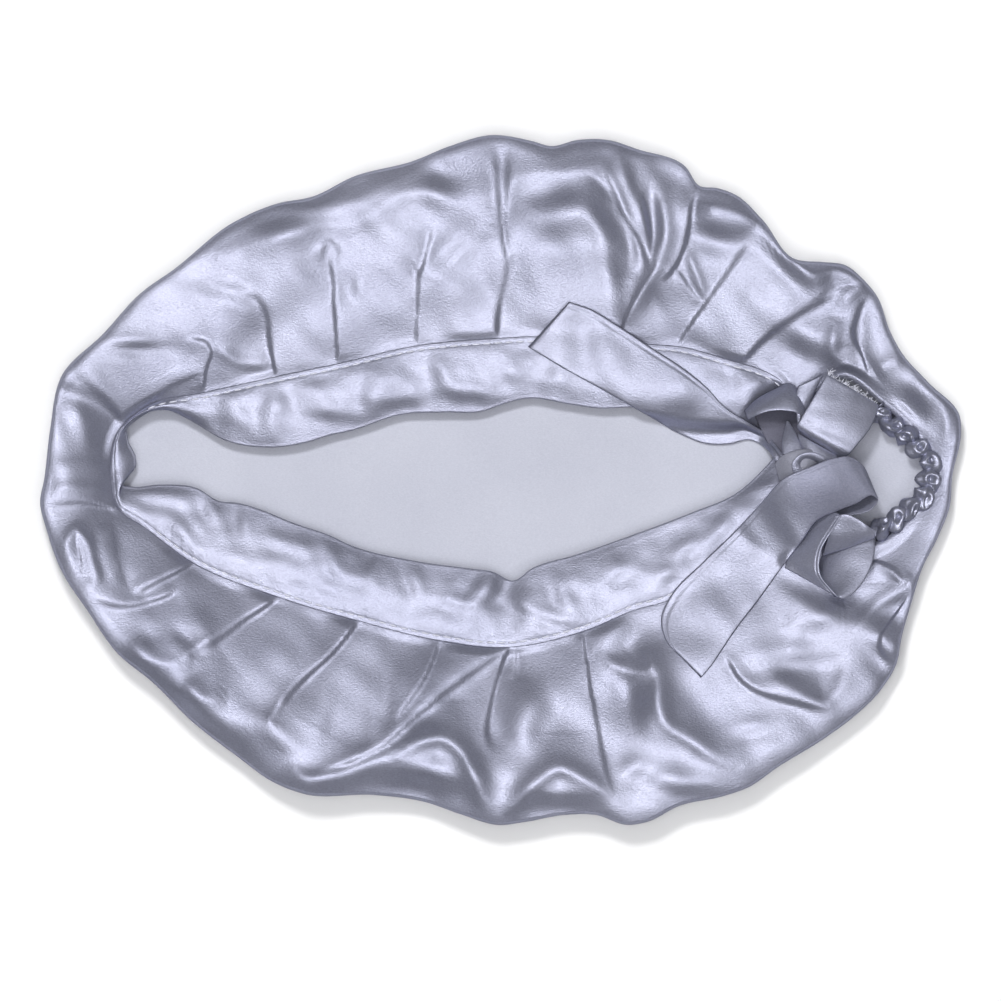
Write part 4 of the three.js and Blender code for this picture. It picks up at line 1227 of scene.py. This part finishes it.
def make_knot():
    """A lump about the knot's box, with folds that wind round it."""
    slope = np.linspace(0, math.pi, KNOT_RINGS)[1:-1, None]
    turn = np.linspace(0, 2 * math.pi, KNOT_SIDES, endpoint=False)[None]
    half = (np.array(knot_high) - np.array(knot_low)) / 2
    middle = (np.array(knot_high) + np.array(knot_low)) / 2
    wrap = np.cos(KNOT_FOLDS * slope + 1.2 * np.sin(turn + 0.6) + 0.8)
    fold = 0.86 + KNOT_FOLD_SHARE * np.sign(wrap) * np.abs(wrap) ** KNOT_FOLD_SHARP
    grid = middle + np.stack(
        [
            np.cos(slope) * half[0] * (1 + 0 * turn),
            np.sin(slope) * np.cos(turn) * half[1] * fold,
            np.sin(slope) * np.sin(turn) * half[2] * fold,
        ],
        -1,
    )
    ends = [middle + (half[0], 0, 0)], [middle - (half[0], 0, 0)]
    points = np.concatenate([grid.reshape(-1, 3), *ends])
    return make_piece("knot_lump", points, tube_faces(*grid.shape[:2]), [tie_satin])


knot = make_knot()
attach(knot, "bonnet")
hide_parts("tie_knot")

# Small ribbons of the knot, and the band's upper end, which is turned in beside it
KNOT_WRAP_LEFT = [
    (775, 464, 14.5), (780, 457, 16.5), (790, 452, 18.2), (803, 449, 18.5), (818, 450, 16.5),
]
KNOT_WRAP_RIGHT = [
    (779, 482, 14.5), (789, 482, 17), (801, 476, 19), (811, 467, 19), (822, 461, 16.5),
]
SPIKE_LEFT = [(787, 421, 11), (784, 432, 13), (782, 443, 15), (783, 455, 16)]
SPIKE_RIGHT = [(788, 421, 11), (795, 432, 13.5), (800, 443, 15.5), (804, 452, 16.5)]
STRIP_LEFT = [(798, 433, 14), (808, 439, 16), (822, 447, 17), (838, 456, 16)]
STRIP_RIGHT = [(799, 452, 14), (808, 457, 17), (820, 461, 18), (834, 465, 17)]
SWIRL_LEFT = [
    (794, 476, 19), (792, 463, 20.3), (799, 455, 20.8), (812, 452, 20.6), (826, 457, 19.5),
    (836, 463, 18),
]
SWIRL_RIGHT = [
    (808, 470, 19), (803, 465, 18.6), (804, 461, 18.4), (812, 460, 18.6), (822, 465, 18.6),
    (830, 469, 17.5),
]
POCKET_UPPER = [
    (744, 411, 12.5), (757, 399, 12.5), (775, 389, 12.5), (790, 383, 12.5), (799, 391, 12.8),
    (806, 403, 13),
]
POCKET_LOWER = [
    (748, 420, 14), (758, 415, 17), (771, 411, 18.2), (787, 411, 18.4), (797, 413, 17.8),
    (804, 418, 16),
]
GATHER_LEFT = [
    (752, 408, 12), (754, 414, 8.5), (757, 421, 6), (762, 432, 5.8), (769, 446, 6.5), (776, 458, 9),
]
GATHER_RIGHT = [
    (803, 409, 12.6), (803, 415, 8.5), (803, 422, 6), (803, 432, 7), (804, 444, 10.5), (804, 456, 12),
]
END_FOLD_LEFT = [(798, 386, 15), (795, 400, 15), (796, 412, 15), (798, 426, 14)]
END_FOLD_RIGHT = [(824, 374, 14.5), (815, 391, 14.5), (808, 408, 14.5), (801, 428, 13.5)]
for name, left, right, bow, material, slot in (
    # The knot's wrap takes the satin with painted shade
    ("knot_wrap", KNOT_WRAP_LEFT, KNOT_WRAP_RIGHT, 0.5, knot_wrap_shaded_satin, "tie_satin"),
    ("knot_spike", SPIKE_LEFT, SPIKE_RIGHT, 0.5, tie_satin, "tie_satin"),
    ("knot_strip", STRIP_LEFT, STRIP_RIGHT, 0.5, tie_satin, "tie_satin"),
    ("knot_swirl", SWIRL_LEFT, SWIRL_RIGHT, 0.5, tie_satin, "tie_satin"),
    ("band_pocket", POCKET_UPPER, POCKET_LOWER, 1.2, band_satin, "band_satin"),
    ("band_end_fold", END_FOLD_LEFT, END_FOLD_RIGHT, 0.5, band_satin, "band_satin"),
    # The gather beside the knot is near-black, as the painted shadow of a dark hole
    ("band_end_gather", GATHER_LEFT, GATHER_RIGHT, 0, band_painted_shadow, "band_satin"),
):
    piece = shaped_ribbon(name, left, right, bow, material)
    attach(piece, "bonnet")


# Nape casing and its elastic

CASING_LINE = [
    (876, 408), (890, 424), (909, 436), (917, 446), (928, 457), (929, 474), (926, 493), (914, 505),
    (893, 522), (874, 535),
]
CASING_HEIGHT = 9.6 * MM
CASING_STEPS = 420
CASING_SIDES = 40
CASING_HALF_WIDTH = 4.3 * MM
CASING_HALF_HEIGHT = 3.9 * MM
CASING_LOBES = 10
# How far the lobes lean round the tube, and the draws of each one: its swell, the turns of its
# crests, and its pit's turn and place
LOBE_LEAN = 0.26
LOBE_TWIST = 0.14
LOBE_SPANS = ((0.7, 1.35), (0, 6), (0, 6), (0.9, 2.3), (-0.12, 0.12))
LOBE_SEED = 14
NECK_SIZE = 0.46
PIT_DEPTH = 0.42
PIT_TURN = 0.42
PIT_LENGTH = 0.2
ELASTIC_STEPS = 280
ELASTIC_SIDES = 28
ELASTIC_HALF_WIDTH = 1.4 * MM
ELASTIC_HALF_THICK = 0.4 * MM
ELASTIC_RIBS = 5
ELASTIC_PLAITS = 70


def swept_grid(line, steps, outline):
    """A tube along a line of pixels. outline gives its half width and half height, at shares of
    the line and all round."""
    dense = points_at(smooth_line(line), np.linspace(0, 1, steps))
    middle = place(dense[:, 0], dense[:, 1], np.full(steps, CASING_HEIGHT))
    ahead = np.gradient(middle, axis=0)
    ahead /= np.linalg.norm(ahead, axis=1, keepdims=True)
    aside = np.stack([ahead[:, 1], -ahead[:, 0], 0 * ahead[:, 0]], -1)
    wide, high = outline(np.linspace(0, 1, steps)[:, None])
    up = np.array([0, 0, 1])
    return middle[:, None] + aside[:, None] * wide[..., None] + up * high[..., None]


def gathered_tube(share):
    """Lobes of crumpled cloth between tight necks, each with its own size and turn."""
    draw = np.random.default_rng(LOBE_SEED)
    turn = np.linspace(0, 2 * math.pi, CASING_SIDES, endpoint=False)[None]
    run = CASING_LOBES * share + LOBE_LEAN * np.sin(turn + 0.7)
    run = run + LOBE_TWIST * np.sin(2 * turn + 7 * share)
    lobe = np.floor(run).astype(int) + 1
    swell, spin, second, pit_turn, pit_at = (
        draw.uniform(*span, CASING_LOBES + 4)[lobe] for span in LOBE_SPANS
    )
    bulge = np.abs(np.sin(math.pi * run)) ** 0.7
    crest = 1 - np.abs(np.sin(1.5 * turn + spin)) ** 1.1
    lesser = 1 - np.abs(np.sin(3 * turn + second)) ** 1.1
    size = NECK_SIZE + bulge * swell * (0.3 + 0.34 * crest + 0.14 * lesser)
    from_pit = (run - np.floor(run) - 0.5 - pit_at) / PIT_LENGTH
    within = ((turn - pit_turn) / PIT_TURN) ** 2 + from_pit**2
    size -= PIT_DEPTH * np.exp(-within**2)
    return CASING_HALF_WIDTH * size * np.cos(turn), CASING_HALF_HEIGHT * size * np.sin(turn)


def braided_strip(share):
    """A flat strip with rounded edges, ribs along it and the plait's steps across them."""
    turn = np.linspace(0, 2 * math.pi, ELASTIC_SIDES, endpoint=False)[None]
    ribs = 1 + 0.12 * np.cos(2 * math.pi * ELASTIC_RIBS * np.cos(turn)) * np.abs(np.sin(turn))
    plait = 1 + 0.06 * np.sin(2 * math.pi * ELASTIC_PLAITS * share + 3 * np.cos(turn))
    wide = ELASTIC_HALF_WIDTH * np.sign(np.cos(turn)) * np.abs(np.cos(turn)) ** 0.5
    high = ELASTIC_HALF_THICK * np.sign(np.sin(turn)) * np.abs(np.sin(turn)) ** 0.5
    return wide * plait, high * ribs * plait


def tube_piece(name, grid, material):
    """A tube with its ends closed, from its points, rows along it and columns round it."""
    points = np.concatenate([grid.reshape(-1, 3), [grid[0].mean(0)], [grid[-1].mean(0)]])
    return make_piece(name, points, tube_faces(*grid.shape[:2]), [material])


casing_grid = swept_grid(CASING_LINE, CASING_STEPS, gathered_tube)
casing = tube_piece("casing_cloth", casing_grid, casing_satin)
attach(casing, "bonnet")
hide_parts("nape_casing")

elastic_grid = swept_grid(CASING_LINE[1:-1], ELASTIC_STEPS, braided_strip)
elastic = tube_piece("elastic_braid", elastic_grid, elastic_yarn)
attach(elastic, "bonnet")
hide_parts("nape_elastic")


# Thread: stitches along the band's seam and the frayed edge of the upper tie's panel

THREAD_SIDES = 6
# A thread swells as half a sine wave does, but for this many radians at its start and its end
THREAD_TAPER = 0.25
FRAYS = 90
FRAY_SEED = 21
FRAY_HALF = 0.1 * MM
FRAY_POINTS = 6


def thread_pieces(name, paths, half):
    """Short threads, each a tapered tube along its own points, joined in one piece."""
    points, faces = [], []
    angles = np.linspace(0, 2 * math.pi, THREAD_SIDES, endpoint=False)[None, :, None]
    for path in paths:
        ahead = np.gradient(path, axis=0)
        ahead /= np.maximum(np.linalg.norm(ahead, axis=1, keepdims=True), 1e-9)
        aside = np.cross(ahead, (0.02, 0.01, 1))
        aside /= np.linalg.norm(aside, axis=1, keepdims=True)
        over = np.cross(aside, ahead)
        swell = np.sin(np.linspace(THREAD_TAPER, math.pi - THREAD_TAPER, len(path))) ** 0.5
        ring = np.cos(angles) * aside[:, None] + np.sin(angles) * over[:, None]
        grid = path[:, None] + ring * (half * swell)[:, None, None]
        faces += tube_faces(len(path), THREAD_SIDES, len(points))
        points += list(grid.reshape(-1, 3)) + [path[0], path[-1]]
    return make_piece(name, np.array(points), faces, [seam_thread])


def band_stitches():
    """Stitches that dip into the band at their ends, along its seam, but none left of STITCHES_FROM."""
    seam, lip = band_lines()
    inward = (lip - seam) / np.linalg.norm(lip - seam, axis=1)[:, None]
    line = seam + STITCH_INSIDE * inward
    count = int(np.linalg.norm(np.diff(line, axis=0), axis=1).sum() / STITCH_PITCH)
    tree = surface_tree(band)
    arch = 0.2 + 0.7 * np.sin(np.linspace(0, math.pi, STITCH_POINTS))
    paths = []
    for i in range(count):
        shares = (i + np.linspace(0, STITCH_LENGTH / STITCH_PITCH, STITCH_POINTS)) / count
        spots = points_at(line, shares)
        if spots[0, 0] < STITCHES_FROM:
            continue
        path = place(spots[:, 0], spots[:, 1], np.full(STITCH_POINTS, SEAM_HEIGHT))
        path[:, 2] = height_under(tree, path[None])[0] + THREAD_HALF * arch
        paths.append(path)
    return thread_pieces("band_stitches", paths, THREAD_HALF)


stitches = band_stitches()
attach(stitches, "bonnet")


def frayed_threads():
    """Short fine threads that stand out of the panel's cut edge at all angles."""
    draw = np.random.default_rng(FRAY_SEED)
    start, end = np.array(UPPER_ROOT_LEFT[0], float), np.array(UPPER_ROOT_RIGHT[0], float)
    paths = []
    for _ in range(FRAYS):
        root = start + (end - start) * draw.uniform(0.01, 0.99)
        long = draw.uniform(1.5, 5) + 4 * (draw.random() > 0.85)
        lean, curl = draw.uniform(-1.1, 1.1), draw.uniform(-1.2, 1.2)
        t = np.linspace(-0.3, 1, FRAY_POINTS)
        x = root[0] + long * (t * (0.45 + 0.7 * lean) + curl * np.maximum(t, 0) ** 2 / 2)
        y = root[1] - long * t * (0.75 - 0.3 * abs(lean))
        z = (root[2] + draw.uniform(-0.4, 0.5) + draw.uniform(-0.6, 0.6) * t**2) * MM
        paths.append(place(x, y, z))
    return thread_pieces("panel_frays", paths, FRAY_HALF)


frays = frayed_threads()
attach(frays, "bonnet")


# Room

FLOOR_REACH = 6.0
FLOOR_DROP = 0.2 * MM
FLOOR_GREY = 0.92
FLOOR_ROUGHNESS = 0.9
WALL_COLOUR = (0.86, 0.88, 0.95)
# How strongly the studio's pale walls glow low all round, how strongly its darker room above
# them does, and the heights between which one turns into the other
WALL_GLOW = 0.5
CEILING_GLOW = 0.05
WALL_TOP = (0.12, 0.3)
# Round lights aimed at the bonnet's middle: place, width, power, and whether satin mirrors them
LIGHTS = {
    "ceiling_softbox": ((0, -0.1, 1.9), 2.6, 19, True),
    "sheen_softbox": ((-0.1, -0.2, 1.8), 0.7, 9, True),
    "top_softbox": ((-0.2, 0.75, 1.6), 0.3, 16, False),
    "fill_softbox": ((0.6, -0.65, 1.5), 0.6, 2.0, True),
}


def make_floor():
    """The pale surface that the bonnet lies on."""
    mesh = bpy.data.meshes.new("studio_floor")
    corners = [(x * FLOOR_REACH, y * FLOOR_REACH, 0) for x, y in ((-1, -1), (1, -1), (1, 1), (-1, 1))]
    mesh.from_pydata(corners, [], [(0, 1, 2, 3)])
    floor = bpy.data.objects.new("studio_floor", mesh)
    bpy.context.scene.collection.objects.link(floor)
    floor.location.z = -FLOOR_DROP
    material = bpy.data.materials.new("studio_floor")
    material.use_nodes = True
    shader = material.node_tree.nodes["Principled BSDF"]
    shader.inputs["Base Color"].default_value = (FLOOR_GREY, FLOOR_GREY, FLOOR_GREY, 1)
    shader.inputs["Roughness"].default_value = FLOOR_ROUGHNESS
    mesh.materials.append(material)


def make_light(name, spot, size, power, glossy):
    """A round light at a spot, aimed at the bonnet's middle."""
    lamp = bpy.data.lights.new(name, "AREA")
    lamp.shape = "DISK"
    lamp.size = size
    lamp.energy = power
    lit = bpy.data.objects.new(name, lamp)
    bpy.context.scene.collection.objects.link(lit)
    lit.location = spot
    lit.visible_glossy = glossy
    lit.rotation_euler = (-Vector(spot)).to_track_quat("-Z", "Y").to_euler()


def make_room():
    """The studio: pale walls that glow low all round, four lights and the floor."""
    scene = bpy.context.scene
    world = bpy.data.worlds.new("studio")
    world.use_nodes = True
    tree = world.node_tree
    background = tree.nodes["Background"]
    background.inputs["Color"].default_value = (*WALL_COLOUR, 1)
    around = add_node(tree, "TexCoord")
    height = add_node(tree, "SeparateXYZ")
    glow = add_node(
        tree, "MapRange", interpolation_type="SMOOTHSTEP", in_From_Min=WALL_TOP[0],
        in_From_Max=WALL_TOP[1], in_To_Min=WALL_GLOW, in_To_Max=CEILING_GLOW,
    )
    wire(
        tree,
        (around, "Generated", height, "Vector"), (height, "Z", glow, "Value"),
        (glow, "Result", background, "Strength"),
    )
    scene.world = world
    for name, light in LIGHTS.items():
        make_light(name, *light)
    make_floor()
    scene.view_settings.view_transform = "Standard"


def make_camera():
    data = bpy.data.cameras.new("photo_camera")
    data.sensor_width = SENSOR_WIDTH
    span = 2 * PHOTO_MIDDLE * PIXEL
    data.lens = SENSOR_WIDTH * (CAMERA_HEIGHT - RIM_HEIGHT) / span
    data.clip_start = 0.05
    camera = bpy.data.objects.new("photo_camera", data)
    bpy.context.scene.collection.objects.link(camera)
    camera.location = (camera_x, camera_y, CAMERA_HEIGHT)
    bpy.context.scene.camera = camera


make_room()
make_camera()
